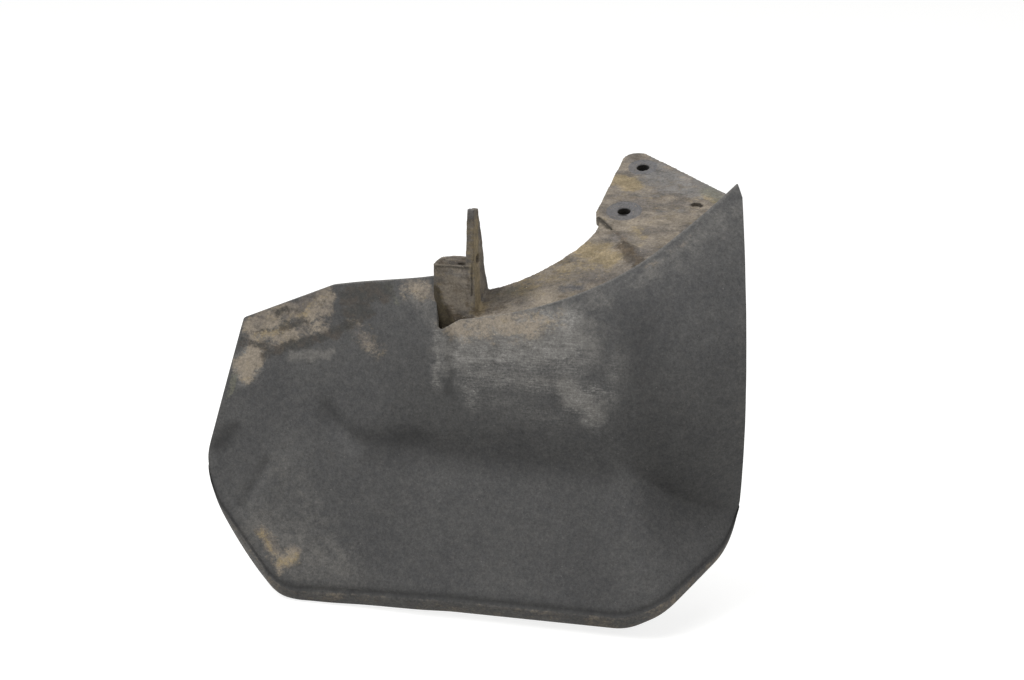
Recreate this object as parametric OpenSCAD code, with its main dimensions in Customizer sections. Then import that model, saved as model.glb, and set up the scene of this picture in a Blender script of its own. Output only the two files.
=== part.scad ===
// Rear mudguard, moulded in one piece.
// The origin is the middle of the lower fixing hole, on the upper face of the fixing plate.
// X runs across the guard to its outer side, Y forward and Z up.
// The hanging panel is drawn by two coordinates: s, its distance across, and z, its height.

/* [Panel outline] */
// Fixing hole to the outer edge, across
outer_reach = 71.5; // [66:0.5:80]
// Fixing hole to the innermost corner, across
inner_reach = 264; // [240:1:300]
// Drop to the fold along the bottom edge
bottom_drop = 219.5; // [200:0.5:250]
// How much higher the bottom fold runs at its outer end
bottom_rise = 6.5; // [0:0.5:12]
// Height of the tip above the fixing hole
tip_height = 20.5; // [14:0.5:28]
// Distance of the tip in from the outer edge
tip_inset = 3.2; // [2:0.1:6]
// Drop from the tip to the start of the straight outer edge
tip_length = 10; // [6:0.5:18]
// Drop of the arch edge at its inner end
arch_drop = 54; // [48:0.5:60]
// Drop of the arch edge where it runs straight to the tip
arch_mid_drop = 5; // [0:0.5:10]
// Place across of that point
arch_mid_reach = 27; // [15:1:40]
// Sag of the arch edge below its chord
arch_sag = 8; // [2:0.5:12]
// Fixing hole to the step in the upper edge, across
step_reach = 115; // [105:1:125]
// Drop of the upper edge at the step
step_top_drop = 32.5; // [28:0.5:38]
// Depth of the notch at the foot of the step
step_height = 29; // [22:0.5:36]
// Width of the notch between the step and the arch edge
notch_w = 13; // [10:0.5:20]
// Place across of the bend in the inner upper edge
shoulder_reach = 181; // [160:1:200]
// Drop of that bend
shoulder_drop = 42; // [36:0.5:48]
// Place across of the inner upper corner
inner_top_reach = 238.5; // [225:0.5:260]
// Drop of the inner upper corner
inner_top_drop = 65.5; // [58:0.5:75]
// Drop of the innermost corner
inner_corner_drop = 155; // [140:1:165]
// Place across of the inner end of the bottom edge
inner_foot_reach = 204; // [196:1:212]
// Drop of the outer corner, where the outer edge ends
outer_corner_drop = 168; // [160:1:180]
// Place across of the outer end of the bottom edge
outer_foot_reach = -10; // [-20:1:0]
// Bow of the slanted edge at the inner end of the bottom edge
inner_bow = 10.5; // [3:0.5:12]
// Bow of the slanted edge at its outer end
outer_bow = 4.5; // [2:0.5:9]
// Radius of the innermost corner
inner_r = 12; // [8:0.5:16]
// Radius of the outer corner
outer_r = 18; // [10:0.5:22]
// Radius of the bend in the inner upper edge
shoulder_r = 18; // [10:1:22]
// Radius where the tip turns into the outer edge
tip_r = 6; // [3:0.5:7]

/* [Panel form] */
// Wall of the panel
wall = 3; // [2:0.1:5]
// Depth of the bulge in front of the fixing hole
bulge_depth = 80; // [72:1:90]
// Drop of the bulge's foremost line
bulge_drop = 100; // [92:1:108]
// Radius of the bulge from top to bottom
bulge_r = 125; // [115:1:150]
// Drop of the valley crease under the bulge
crease_drop = 132; // [126:1:150]
// Angle of the lower flap from upright
flare = 22.5; // [15:0.5:28]
// Where the outer wing starts to turn back, across from the hole
wing_inset = 10; // [0:1:25]
// Radius of the wing in plan
wing_r = 130; // [110:1:220]
// Depth of the inner upper edge in front of the fixing hole
inner_depth = 60; // [50:1:66]
// Angle of the flat inner part from upright
inner_lean = 15.6; // [10:0.2:20]
// Where the bulge ends and the flat inner part begins
blend_reach = 170; // [150:1:190]
// Width of the change from one to the other
blend_w = 50; // [30:1:70]
// Where the flap's outer ridge leaves the crease
ridge_reach = 5; // [-10:1:20]
// Lean of the ridge outward
ridge_lean = 19; // [5:1:30]
// Angle by which the flank beside the ridge turns back
flank_turn = 44; // [30:1:48]
// Turn of the cut side edges from straight fore and aft
edge_turn = 16; // [8:1:22]

/* [Return rim] */
// Width of the rim folded back along the bottom
rim_w = 13; // [6:0.5:18]
// Angle of the rim from straight down, to the rear of the flap
rim_turn = 32; // [15:1:50]

/* [Shelf] */
// Thickness of the shelf and the fixing plate
shelf_t = 4; // [3:0.1:6]
// Height of the panel's lip above the shelf
lip = 2; // [1:0.5:5]
// Width of the shelf beside the fin
shelf_w = 31; // [26:1:38]
// Rise of the shelf from the panel to its front edge, beside the fin
shelf_rise = 15.5; // [12:0.5:19]

/* [Fixing plate] */
// Slope of the fixing plate, up to the front
plate_tilt = 18; // [12:1:24]
// Bore of the fixing holes
hole_d = 7.8; // [6:0.1:9]
// Distance up the slope to the upper hole
upper_hole_v = 52; // [44:1:56]
// Distance across to the outer hole
outer_hole_u = 42; // [36:1:48]
// Distance up the slope to the outer hole
outer_hole_v = 10; // [4:1:16]
// Plate edge beyond the holes on the inner side
plate_margin = 16.5; // [15:0.5:20]
// Distance up the slope to the plate's pointed end
plate_reach = 77; // [72:1:90]
// Angle of the plate's front edge
plate_edge_turn = 35; // [30:1:40]
// Radius of the plate's rounded end
plate_r = 9; // [4:0.5:12]
// Distance down the slope to the crease against the shelf
plate_foot = 12; // [10:0.5:18]
// Diameter of the collars under the fixing holes
collar_d = 15; // [12:0.5:18]
// Length of the collars below the plate
collar_l = 5; // [2:0.5:10]

/* [Boss] */
// Width of the boss across
boss_w = 22; // [18:0.5:26]
// Length of the boss, front to back
boss_l = 23; // [16:0.5:24]
// Height of the boss above the floor of the notch
boss_h = 37; // [28:0.5:46]
// Wall round the recess in its top
boss_wall = 2.6; // [2:0.1:4]
// Depth of the recess
boss_recess = 3; // [1:0.5:6]
// Radius of its rounded side
boss_r = 8; // [4:0.5:9]
// Diameter of the blind screw hole in the recess
pilot_d = 5.5; // [3:0.1:6]
// Depth of the screw hole below the recess
pilot_depth = 12; // [6:0.5:20]

/* [Fin] */
// Thickness of the upright fin
fin_t = 4; // [3:0.1:6]
// Height of the fin above the floor of the notch
fin_h = 73; // [60:1:80]
// Width of the fin at its top
fin_top_w = 8.5; // [6:0.5:12]
// Width of the fin at its foot
fin_foot_w = 28; // [24:1:34]
// Height at which the foot ends, above the floor of the notch
fin_foot_h = 16; // [10:1:22]
// Width of the fin at the bend in its front edge
fin_bend_w = 15.4; // [13:0.2:18]
// Height of that bend above the floor of the notch
fin_bend_h = 49.6; // [46:0.2:54]
// Bore of the hole through the fin
fin_hole_d = 7; // [5:0.1:8]
// Height of that hole above the floor of the notch
fin_hole_h = 41; // [36:1:46]
// Distance of that hole from the fin's rear edge
fin_hole_inset = 9; // [7.5:0.1:9.5]

/* [Hidden] */

shear = tan(edge_turn);
notch_x = -step_reach;
floor_z = -step_top_drop - step_height;
fold_z = crease_drop - bulge_drop;
crease_depth = bulge_depth - fold_z * fold_z / (2 * bulge_r);
// Roundness of the valley crease and of the flap's ridge
crease_soft = 5;
ridge_soft = 9;
// Lean of the step's upright edge, and the small radii along the upper edge
step_lean = 3.6;
step_r = 1.2;
step_foot_r = 3;
point_r = 0.8;
inner_top_r = 2.5;
// Number of points along arcs, edges, rows and columns
arc_steps = 6;
arch_steps = 10;
bow_steps = 7;
seam_steps = 12;
shelf_steps = 10;
corner_cols = 4;
inner_cols = 12;
outer_cols = 25;
tip_cols = 2;
upper_rows = 9;
lower_rows = 8;
halvings = 24;
// Outermost columns lie this far inside the outline, and the step's columns this far apart
side_grip = 0.35;
step_gap = 0.4;
tip_band = 3;
// Least share of a column's height above and below its crease row
row_share = 0.35;
// Step for slopes, depth at which the shelf and plate end inside the panel's wall, and overlaps
slope_step = 0.5;
skin = wall * 0.3;
overlap = 0.6;
cut = 1;
// The seam between plate and panel runs between these places across
seam_start = 12;
seam_end = outer_reach - 2.5;
// Lean of the plate's inner edge and the radius beside the crease
plate_lean = 2.5;
crease_lean = 2;
crease_r = 8;
crease_step = 3;
// Pull of the shelf's curved front edge at its two ends, and where its even stations begin
rear_pull = 40;
crease_pull = 24;
shelf_lead = 8;
notch_back = 9;
tongue = 1.2;
// Places of the fin and the boss in the notch
fin_aside = 3;
fin_setback = 5;
fin_taper = 0.5;
boss_setback = 9;
boss_gap = 1;
boss_sink = 6;

function clamp(x, low, high) = min(max(x, low), high);
function ease(x) = let (t = clamp(x, 0, 1)) t * t * (3 - 2 * t);
function soft_min(a, b, k) =
    let (h = clamp(0.5 + 0.5 * (b - a) / k, 0, 1))
    b + (a - b) * h - k * h * (1 - h);
function soft_max(a, b, k) = -soft_min(-a, -b, k);
function unit(v) = v / norm(v);
function last(list) = list[len(list) - 1];

// Y of the panel's rear face at s and z: a bulge with an outer wing, over a flared flap
function wing_y(s) = s > -wing_inset ? pow(s + wing_inset, 2) / (2 * wing_r) : 0;
function bulge_y(s, z) = wing_y(s) - bulge_depth + pow(z + bulge_drop, 2) / (2 * bulge_r);
function flap_y(z) = -crease_depth - (-crease_drop - z) * tan(flare);
function ridge_s(z) = -ridge_reach + (-crease_drop - z) * tan(ridge_lean);
function flank_y(s, z) = flap_y(z) + (s - ridge_s(z)) * tan(flank_turn);
function middle_y(s, z) =
    soft_min(bulge_y(s, z), soft_max(flap_y(z), flank_y(s, z), ridge_soft), crease_soft);
function inner_y(z) = -inner_depth - (-shoulder_drop - z) * tan(inner_lean);
function panel_y(s, z) =
    let (part = ease((s + blend_reach) / blend_w))
    inner_y(z) * (1 - part) + middle_y(s, z) * part;

function panel_point(s, z) = let (y = panel_y(s, z)) [s - y * shear, y, z];
function panel_normal(s, z) =
    let (
        e = slope_step,
        ds = (panel_y(s + e, z) - panel_y(s - e, z)) / (2 * e),
        dz = (panel_y(s, z + e) - panel_y(s, z - e)) / (2 * e)
    )
    unit([ds, ds * shear - 1, dz]);
function inside_panel(s, z, depth) = panel_point(s, z) - panel_normal(s, z) * depth;

// A polygon's corners [x, y, radius] turned into points, with an arc at each rounded corner
function corner_arc(before, corner, after, r) =
    let (
        a = unit(before - corner),
        b = unit(after - corner),
        half = acos(clamp(a * b, -1, 1)) / 2,
        mid = corner + unit(a + b) * r / sin(half),
        start = corner + a * r / tan(half) - mid,
        from = atan2(start[1], start[0]),
        turn = cross(a, b) > 0 ? 2 * half - 180 : 180 - 2 * half
    )
    [for (i = [0:arc_steps]) mid + r * [cos(from + turn * i / arc_steps), sin(from + turn * i / arc_steps)]];
function flat(p) = [p[0], p[1]];
function rounded(corners) =
    let (n = len(corners))
    [
        for (i = [0:n - 1])
            each corners[i][2] == 0
                ? [flat(corners[i])]
                : corner_arc(flat(corners[(i + n - 1) % n]), flat(corners[i]),
                    flat(corners[(i + 1) % n]), corners[i][2])
    ];

// Points of a shallow bow from a to b, as corners with no radius
function bow(a, b, sag, steps) =
    let (side = unit([a[1] - b[1], b[0] - a[0]]))
    [
        for (i = [0:steps])
            let (t = i / steps, p = a + (b - a) * t - side * 4 * sag * t * (1 - t))
            [p[0], p[1], 0]
    ];
arch_edge = bow([notch_x + notch_w, -arch_drop], [arch_mid_reach, -arch_mid_drop], arch_sag, arch_steps);
outer_chamfer = bow(
    [outer_reach - outer_r / 2, -outer_corner_drop - outer_r / 2],
    [outer_foot_reach, bottom_rise - bottom_drop],
    -outer_bow,
    bow_steps
);
inner_chamfer = bow(
    [-inner_foot_reach, -bottom_drop],
    [inner_r / 4 - inner_reach, -inner_corner_drop - inner_r / 3],
    -inner_bow,
    bow_steps
);
tip_s = outer_reach - tip_inset;
step_top_s = notch_x - step_lean / 2;
step_foot_s = notch_x + step_lean / 2 - step_gap;
outline = rounded(concat(
    [
        [-inner_top_reach, -inner_top_drop, inner_top_r],
        [-shoulder_reach, -shoulder_drop, shoulder_r],
        [notch_x - step_lean / 2, -step_top_drop, step_r],
        [notch_x + step_lean / 2, floor_z - cut, step_foot_r]
    ],
    arch_edge,
    [
        [tip_s, tip_height, point_r],
        [outer_reach, tip_height - tip_length, tip_r],
        [outer_reach, -outer_corner_drop, outer_r]
    ],
    outer_chamfer,
    inner_chamfer,
    [[-inner_reach, -inner_corner_drop, inner_r]]
));

// Heights at which the outline crosses the upright line at s
function crossings(s) =
    let (n = len(outline))
    [
        for (i = [0:n - 1])
            let (a = outline[i], b = outline[(i + 1) % n])
            if ((a[0] <= s) != (b[0] <= s))
                a[1] + (b[1] - a[1]) * (s - a[0]) / (b[0] - a[0])
    ];
function edge_top(s) = max(crossings(s));
function edge_bottom(s) = min(crossings(s));

// Columns of points, closer together at the inner corner, and rows above and below the crease
left_s = min([for (p = outline) p[0]]) + side_grip;
right_s = outer_reach - side_grip;
function spread(from, to, n) = [for (i = [0:n]) from + (to - from) * i / n];
columns = concat(
    spread(left_s, -inner_top_reach, corner_cols),
    [for (s = spread(-inner_top_reach, step_top_s, inner_cols)) if (s > -inner_top_reach) s],
    spread(step_foot_s, tip_s - tip_band, outer_cols),
    spread(tip_s, right_s, tip_cols)
);
function column_heights(s) =
    let (
        top = edge_top(s),
        bottom = edge_bottom(s),
        least = row_share * (top - bottom),
        mid = clamp(-crease_drop, bottom + least, top - least)
    )
    concat(
        [for (j = [0:upper_rows]) top + (mid - top) * j / upper_rows],
        [for (j = [1:lower_rows]) mid + (bottom - mid) * j / lower_rows]
    );

rim = rim_w * [0, sin(rim_turn), -cos(rim_turn)];
heights = [for (s = columns) column_heights(s)];
fold_row = [for (i = [0:len(columns) - 1]) panel_point(columns[i], last(heights[i]))];
function rim_normal(i) =
    let (
        a = fold_row[max(i - 1, 0)],
        b = fold_row[min(i + 1, len(columns) - 1)]
    )
    unit(cross(rim, b - a));
function mitre(a, b) = let (m = unit(a + b)) m / (m * a);

function column_outside(i) =
    concat([for (z = heights[i]) panel_point(columns[i], z)], [fold_row[i] + rim]);
function column_inside(i) =
    let (
        s = columns[i],
        fold = last(heights[i]),
        above = [for (j = [0:len(heights[i]) - 2]) heights[i][j]],
        out = rim_normal(i)
    )
    concat(
        [for (z = above) inside_panel(s, z, wall)],
        [fold_row[i] - wall * mitre(panel_normal(s, fold), out)],
        [fold_row[i] + rim - wall * out]
    );

// A closed skin over a grid of outer points and the matching grid of inner points
module sheet(outside, inside) {
    rows = len(outside[0]);
    cols = len(outside);
    half = rows * cols;
    function at(i, j) = i * rows + j;
    faces = concat(
        [
            for (i = [0:cols - 2], j = [0:rows - 2])
                each [
                    [at(i, j), at(i + 1, j + 1), at(i, j + 1)],
                    [at(i, j), at(i + 1, j), at(i + 1, j + 1)],
                    [half + at(i, j), half + at(i, j + 1), half + at(i + 1, j + 1)],
                    [half + at(i, j), half + at(i + 1, j + 1), half + at(i + 1, j)]
                ]
        ],
        [
            for (i = [0:cols - 2], j = [0, rows - 1])
                each quad(at(i, j), at(i + 1, j), half + at(i + 1, j), half + at(i, j), j == 0)
        ],
        [
            for (j = [0:rows - 2], i = [0, cols - 1])
                each quad(at(i, j), at(i, j + 1), half + at(i, j + 1), half + at(i, j), i > 0)
        ]
    );
    polyhedron(
        points = concat([for (c = outside) each c], [for (c = inside) each c]),
        faces = faces,
        convexity = 6
    );
}
function quad(a, b, c, d, flip) = flip ? [[a, c, b], [a, d, c]] : [[a, b, c], [a, c, d]];

module panel() {
    color("dimgray")
        sheet(
            [for (i = [0:len(columns) - 1]) column_outside(i)],
            [for (i = [0:len(columns) - 1]) column_inside(i)]
        );
}

// The fixing plate lies on a sloping plane, with u across and v up the slope
slope = [0, cos(plate_tilt), sin(plate_tilt)];
through = [0, sin(plate_tilt), -cos(plate_tilt)];
function on_plate(uv) = [uv[0], 0, 0] + slope * uv[1];
function plate_gap(s, z) =
    let (p = inside_panel(s, z, skin))
    p[2] - p[1] * tan(plate_tilt);
// The height at which the panel passes through the plate's upper face, by halving
function seam_z(s, low, high, n = halvings) =
    let (mid = (low + high) / 2)
    n == 0 ? mid : plate_gap(s, mid) > 0 ? seam_z(s, low, mid, n - 1) : seam_z(s, mid, high, n - 1);
function seam(s) = inside_panel(s, seam_z(s, -bulge_drop, tip_height), skin);
function seam_uv(s) = let (p = seam(s)) [p[0], p[1] / cos(plate_tilt)];

plate_edge = [cos(plate_edge_turn), -sin(plate_edge_turn)];
plate_top = [plate_lean - plate_margin, plate_reach];
// The plate's front edge ends on the line of the panel's outer edge
across = [1, shear * cos(plate_tilt)];
plate_corner = plate_top + plate_edge * (seam_end - plate_top * across) / (plate_edge * across);
crease_uv = [crease_lean - plate_margin, -plate_foot];
plate_outline = concat(
    rounded([
        [crease_uv[0], crease_uv[1], 0],
        [-plate_margin, crease_step - plate_foot / 2, crease_r],
        [plate_top[0], plate_top[1], plate_r],
        [plate_corner[0], plate_corner[1], 0]
    ]),
    [for (s = spread(seam_end, seam_start, seam_steps)) seam_uv(s)]
);
holes = [[0, 0], [0, upper_hole_v], [outer_hole_u, outer_hole_v]];

module on_plate_frame() {
    rotate([plate_tilt, 0, 0]) children();
}

module plate() {
    color("tan")
        on_plate_frame() {
            translate([0, 0, -shelf_t])
                linear_extrude(shelf_t) polygon(plate_outline);
            for (h = holes)
                translate([h[0], h[1], -shelf_t - collar_l])
                    cylinder(h = collar_l + shelf_t / 2, d = collar_d, $fn = 48);
        }
}

module plate_holes() {
    on_plate_frame()
        for (h = holes)
            translate([h[0], h[1], -shelf_t - collar_l - cut])
                cylinder(h = shelf_t + collar_l + 2 * cut, d = hole_d, $fn = 48);
}

// The shelf follows the arch edge from the notch to the crease, where it meets the plate
floor_front = inside_panel(notch_x + notch_w, floor_z, skin);
fin_x = floor_front[0] + fin_aside;
shelf_back = floor_front[1] + shelf_w;
crease_front = seam(seam_start);
crease_back = on_plate(crease_uv);
function bezier(p, t) =
    pow(1 - t, 3) * p[0] + 3 * t * pow(1 - t, 2) * p[1] + 3 * t * t * (1 - t) * p[2] + pow(t, 3) * p[3];
rear_start = [fin_x + fin_t, shelf_back, floor_z + shelf_rise];
rear_edge = [
    rear_start,
    rear_start + [rear_pull, -rear_pull / 6, rear_pull / 3.4],
    crease_back + [crease_pull / 8, -crease_pull, -crease_pull / 2.3],
    crease_back
];

module shelf() {
    // One cross-section: upper and lower point at the panel, between them the rear edge
    function station(s, z, rear) = [
        inside_panel(s, z, skin),
        rear,
        rear + through * shelf_t,
        inside_panel(s, z - shelf_t, skin)
    ];
    // The last one lies inside the plate, a little thinner than it
    function end(front, rear, low = skin / 2, high = shelf_t - skin / 2) =
        [front + through * low, rear + through * low, rear + through * high, front + through * high];
    aside = unit(cross(through, crease_back - crease_front)) * tongue;
    rings = concat(
        [
            for (s = [notch_x + cut, notch_x + notch_w / 2, notch_x + notch_w])
                station(s, floor_z - lip, rear_start + [s - notch_x - notch_w - notch_back, 0, -lip])
        ],
        [
            for (i = [0:shelf_steps - 1])
                let (
                    t = i / shelf_steps,
                    lead = notch_x + notch_w + shelf_lead,
                    s = lead + (seam_start - lead) * t
                )
                station(s, edge_top(s) - lip, bezier(rear_edge, t))
        ],
        [end(crease_front + aside, crease_back + aside)]
    );
    color("tan") tube(rings);
}

// A closed solid through rings of four points
module tube(rings) {
    n = len(rings);
    polyhedron(
        points = [for (r = rings) each r],
        faces = concat(
            [[0, 2, 1], [0, 3, 2]],
            [
                for (i = [0:n - 2], k = [0:3])
                    each [
                        [4 * i + k, 4 * i + (k + 1) % 4, 4 * i + 4 + (k + 1) % 4],
                        [4 * i + k, 4 * i + 4 + (k + 1) % 4, 4 * i + 4 + k]
                    ]
            ],
            [[4 * n - 4, 4 * n - 3, 4 * n - 2], [4 * n - 4, 4 * n - 2, 4 * n - 1]]
        ),
        convexity = 6
    );
}

// The boss stands in the notch beside the fin
boss_front = floor_front[1] + boss_setback;
boss_x = fin_x - boss_w / 2 - boss_gap;
module boss() {
    low = -boss_w / 2;
    high = boss_w / 2 + boss_gap + overlap;
    color("tan")
        translate([boss_x, boss_front, floor_z - boss_sink])
            linear_extrude(boss_h + boss_sink)
                polygon(rounded([
                    [low, 0, boss_r / 2],
                    [low, boss_l, boss_r],
                    [high, boss_l, 0],
                    [high, 0, 0]
                ]));
}

module boss_hollow() {
    low = boss_wall - boss_w / 2;
    high = boss_w / 2;
    translate([boss_x, boss_front, floor_z + boss_h - boss_recess])
        linear_extrude(boss_recess + cut)
            polygon(rounded([
                [low, boss_wall, (boss_r - boss_wall) / 2],
                [low, boss_l - boss_wall, boss_r - boss_wall],
                [high, boss_l - boss_wall, 0],
                [high, boss_wall, 0]
            ]));
    translate([boss_x + boss_w / 4, boss_front + boss_l / 2, floor_z + boss_h - boss_recess - pilot_depth])
        cylinder(h = pilot_depth + cut, d = pilot_d, $fn = 40);
}

// The fin stands across the shelf, upright at its rear face and tapered in front
fin_rear = floor_front[1] + fin_setback;
module fin() {
    color("tan")
        translate([fin_x, 0, 0])
            rotate([90, 0, 90])
                linear_extrude(fin_t)
                    polygon([
                        [fin_rear, floor_z - lip],
                        [fin_rear + fin_taper, floor_z + fin_h],
                        [fin_rear + fin_top_w, floor_z + fin_h],
                        [fin_rear + fin_bend_w, floor_z + fin_bend_h],
                        [fin_rear + fin_foot_w, floor_z + fin_foot_h],
                        [fin_rear + fin_foot_w, floor_z + lip]
                    ]);
}

module fin_hole() {
    translate([fin_x - cut, fin_rear + fin_hole_inset, floor_z + fin_hole_h])
        rotate([0, 90, 0])
            cylinder(h = fin_t + 2 * cut, d = fin_hole_d, $fn = 48);
}

module mudguard() {
    difference() {
        union() {
            panel();
            plate();
            shelf();
            boss();
            fin();
        }
        plate_holes();
        boss_hollow();
        fin_hole();
    }
}

mudguard();
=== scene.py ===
"""A used rear mudguard, moulded in one piece, with dust and dried mud on it.

The sizes are in millimetres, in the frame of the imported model: the origin is the middle of the
lower fixing hole, X runs to the outer side, Y forward and Z up. Meshes are written in metres.
"""
import logging
import math
from dataclasses import dataclass
from enum import Enum

import bmesh
import bpy
import numpy as np
from mathutils import Matrix, Vector, geometry, noise


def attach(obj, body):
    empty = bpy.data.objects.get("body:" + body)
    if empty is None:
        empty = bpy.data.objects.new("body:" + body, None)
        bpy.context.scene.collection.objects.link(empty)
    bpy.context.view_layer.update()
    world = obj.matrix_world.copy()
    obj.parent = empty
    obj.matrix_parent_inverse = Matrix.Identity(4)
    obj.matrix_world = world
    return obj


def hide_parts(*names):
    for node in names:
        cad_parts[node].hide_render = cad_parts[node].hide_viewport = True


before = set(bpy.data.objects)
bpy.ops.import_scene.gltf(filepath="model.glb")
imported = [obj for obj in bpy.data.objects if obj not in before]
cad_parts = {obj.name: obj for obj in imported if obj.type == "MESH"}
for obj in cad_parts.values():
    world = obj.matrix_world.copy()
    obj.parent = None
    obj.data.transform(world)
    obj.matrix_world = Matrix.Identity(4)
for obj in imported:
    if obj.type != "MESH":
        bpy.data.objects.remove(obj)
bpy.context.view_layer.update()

LOG = logging.getLogger("mudguard")
MM = 0.001
NODE = "mudguard"
Rgb = tuple[float, float, float]
Point = tuple[float, ...]


# Small sums

def ease(x: np.ndarray) -> np.ndarray:
    """Return a soft step from 0 to 1 as x goes from 0 to 1."""
    t = np.clip(x, 0.0, 1.0)
    return t * t * (3.0 - 2.0 * t)


def soft_min(a: np.ndarray, b: np.ndarray, k: float) -> np.ndarray:
    """Return the lesser of two values, rounded where they cross.

    Args:
        a: First values.
        b: Second values.
        k: Width of the rounding.

    Returns:
        The blended values.
    """
    h = np.clip(0.5 + 0.5 * (b - a) / k, 0.0, 1.0)
    return b + (a - b) * h - k * h * (1.0 - h)


def soft_max(a: np.ndarray, b: np.ndarray, k: float) -> np.ndarray:
    """Return the greater of two values, rounded where they cross."""
    return -soft_min(-a, -b, k)


def unit(v: np.ndarray) -> np.ndarray:
    """Return vectors scaled to length 1."""
    return v / np.maximum(np.linalg.norm(v, axis=-1, keepdims=True), 1e-9)


def wander(points: np.ndarray, size: float, seed: float, octaves: int = 3) -> np.ndarray:
    """Return smooth noise of about -1 to 1 at each point.

    Args:
        points: Places in the plane or in space, in millimetres, one row each.
        size: Size of the largest blots, in millimetres.
        seed: Shift that makes one pattern unlike another.
        octaves: Number of finer layers.

    Returns:
        One value for each point.
    """
    flat = points.reshape(-1, points.shape[-1]) / size + seed
    if flat.shape[1] == 2:
        flat = np.column_stack([flat, np.full(len(flat), seed)])
    values = [noise.fractal(Vector(p), 0.8, 2.1, octaves) for p in flat]
    return np.array(values).reshape(points.shape[:-1])


def from_line(places: np.ndarray, start: Point, end: Point) -> np.ndarray:
    """Return how far each place is from a straight line between two points.

    Args:
        places: Places, one row each.
        start: First end of the line.
        end: Other end of the line.

    Returns:
        One distance for each place.
    """
    a, b = np.array(start), np.array(end)
    along = b - a
    t = np.clip((places - a) @ along / max(float(along @ along), 1e-9), 0.0, 1.0)
    return np.linalg.norm(places - a - t[..., None] * along, axis=-1)


def rounded(corners: list[Point], steps: int = 8) -> np.ndarray:
    """Return an outline with an arc at each corner that has a radius.

    Args:
        corners: Corners as x, y, radius.
        steps: Number of steps in each arc.

    Returns:
        The outline's points.
    """
    points = []
    for i, (x, y, r) in enumerate(corners):
        corner = np.array([x, y])
        if r == 0:
            points.append(corner)
            continue
        a = unit(np.array(corners[i - 1][:2]) - corner)
        b = unit(np.array(corners[(i + 1) % len(corners)][:2]) - corner)
        half = math.acos(float(np.clip(a @ b, -1, 1))) / 2
        mid = corner + unit(a + b) * r / math.sin(half)
        start = corner + a * r / math.tan(half) - mid
        first = math.atan2(start[1], start[0])
        turn = math.pi - 2 * half
        turn = -turn if a[0] * b[1] - a[1] * b[0] > 0 else turn
        for k in range(steps + 1):
            angle = first + turn * k / steps
            points.append(mid + r * np.array([math.cos(angle), math.sin(angle)]))
    return np.array(points)


def bow(a: Point, b: Point, sag: float, steps: int) -> list[Point]:
    """Return the points of a shallow bow from a to b, as corners with no radius.

    Args:
        a: First end.
        b: Other end.
        sag: Depth of the bow in its middle.
        steps: Number of steps along it.

    Returns:
        The corners, from a to b.
    """
    a, b = np.array(a), np.array(b)
    side = unit(np.array([a[1] - b[1], b[0] - a[0]]))
    rows = []
    for i in range(steps + 1):
        t = i / steps
        p = a + (b - a) * t - side * 4 * sag * t * (1 - t)
        rows.append((float(p[0]), float(p[1]), 0.0))
    return rows


def make_mesh(name: str, points: np.ndarray, faces: list[tuple[int, ...]]) -> bpy.types.Mesh:
    """Return a mesh in metres whose faces all point outwards.

    Args:
        name: Name of the mesh.
        points: Points in millimetres.
        faces: Faces as tuples of point numbers.

    Returns:
        The new mesh.
    """
    mesh = bpy.data.meshes.new(name)
    mesh.from_pydata([tuple(p) for p in np.asarray(points) * MM], [], faces)
    form = bmesh.new()
    form.from_mesh(mesh)
    bmesh.ops.recalc_face_normals(form, faces=form.faces)
    form.to_mesh(mesh)
    form.free()
    return mesh


def add_object(name: str, mesh: bpy.types.Mesh) -> bpy.types.Object:
    """Return a new object in the scene that shows the mesh.

    Args:
        name: Name of the object.
        mesh: The mesh that it shows.

    Returns:
        The new object.
    """
    piece = bpy.data.objects.new(name, mesh)
    bpy.context.scene.collection.objects.link(piece)
    return piece


def applied(piece: bpy.types.Object) -> bpy.types.Object:
    """Turn an object's modifiers into plain mesh and return the object.

    Args:
        piece: An object with modifiers.

    Returns:
        The same object, with plain mesh.
    """
    evaluated = piece.evaluated_get(bpy.context.evaluated_depsgraph_get())
    mesh = bpy.data.meshes.new_from_object(evaluated)
    piece.modifiers.clear()
    piece.data = mesh
    return piece


# Dirt and painted shade

class Dirt(Enum):
    """Kinds of dirt and wear, and SHADE, a layer of painted shade that also holds some darker grime. Each is
    a layer of its own, kept as one number for each point.
    """

    DUST = "dust"
    MUD = "mud"
    YELLOW = "yellow"
    STAIN = "stain"
    GREEN = "green"
    SCUFF = "scuff"
    EDGE = "edge"
    CLEAN = "clean"
    SHADE = "shade"


@dataclass(frozen=True)
class Patch:
    """A soft patch of dirt or painted shade along a line, on the panel (s, z) or in space (x, y, z)."""

    kind: Dirt
    start: Point
    end: Point
    reach: float
    fade: float
    strength: float = 1.0

    def cover(self, places: np.ndarray) -> np.ndarray:
        """Return how strongly the patch covers each place."""
        far = from_line(places, self.start, self.end)
        return self.strength * ease((self.reach + self.fade / 2 - far) / self.fade)


def add_cover(layers: dict[Dirt, np.ndarray], kind: Dirt, cover: np.ndarray) -> None:
    """Add cover to one kind of dirt or to the painted shade, where the stronger one counts."""
    layers[kind] = np.maximum(layers[kind], cover)


def lay_dirt(patches: list[Patch], places: np.ndarray) -> dict[Dirt, np.ndarray]:
    """Return each kind of dirt and the painted shade at each place, where the strongest patch counts.

    Args:
        patches: The patches of dirt and painted shade.
        places: Places, one row each.

    Returns:
        One cover for each place, by kind.
    """
    layers = {kind: np.zeros(places.shape[:-1]) for kind in Dirt}
    for patch in patches:
        add_cover(layers, patch.kind, patch.cover(places))
    return layers


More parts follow.
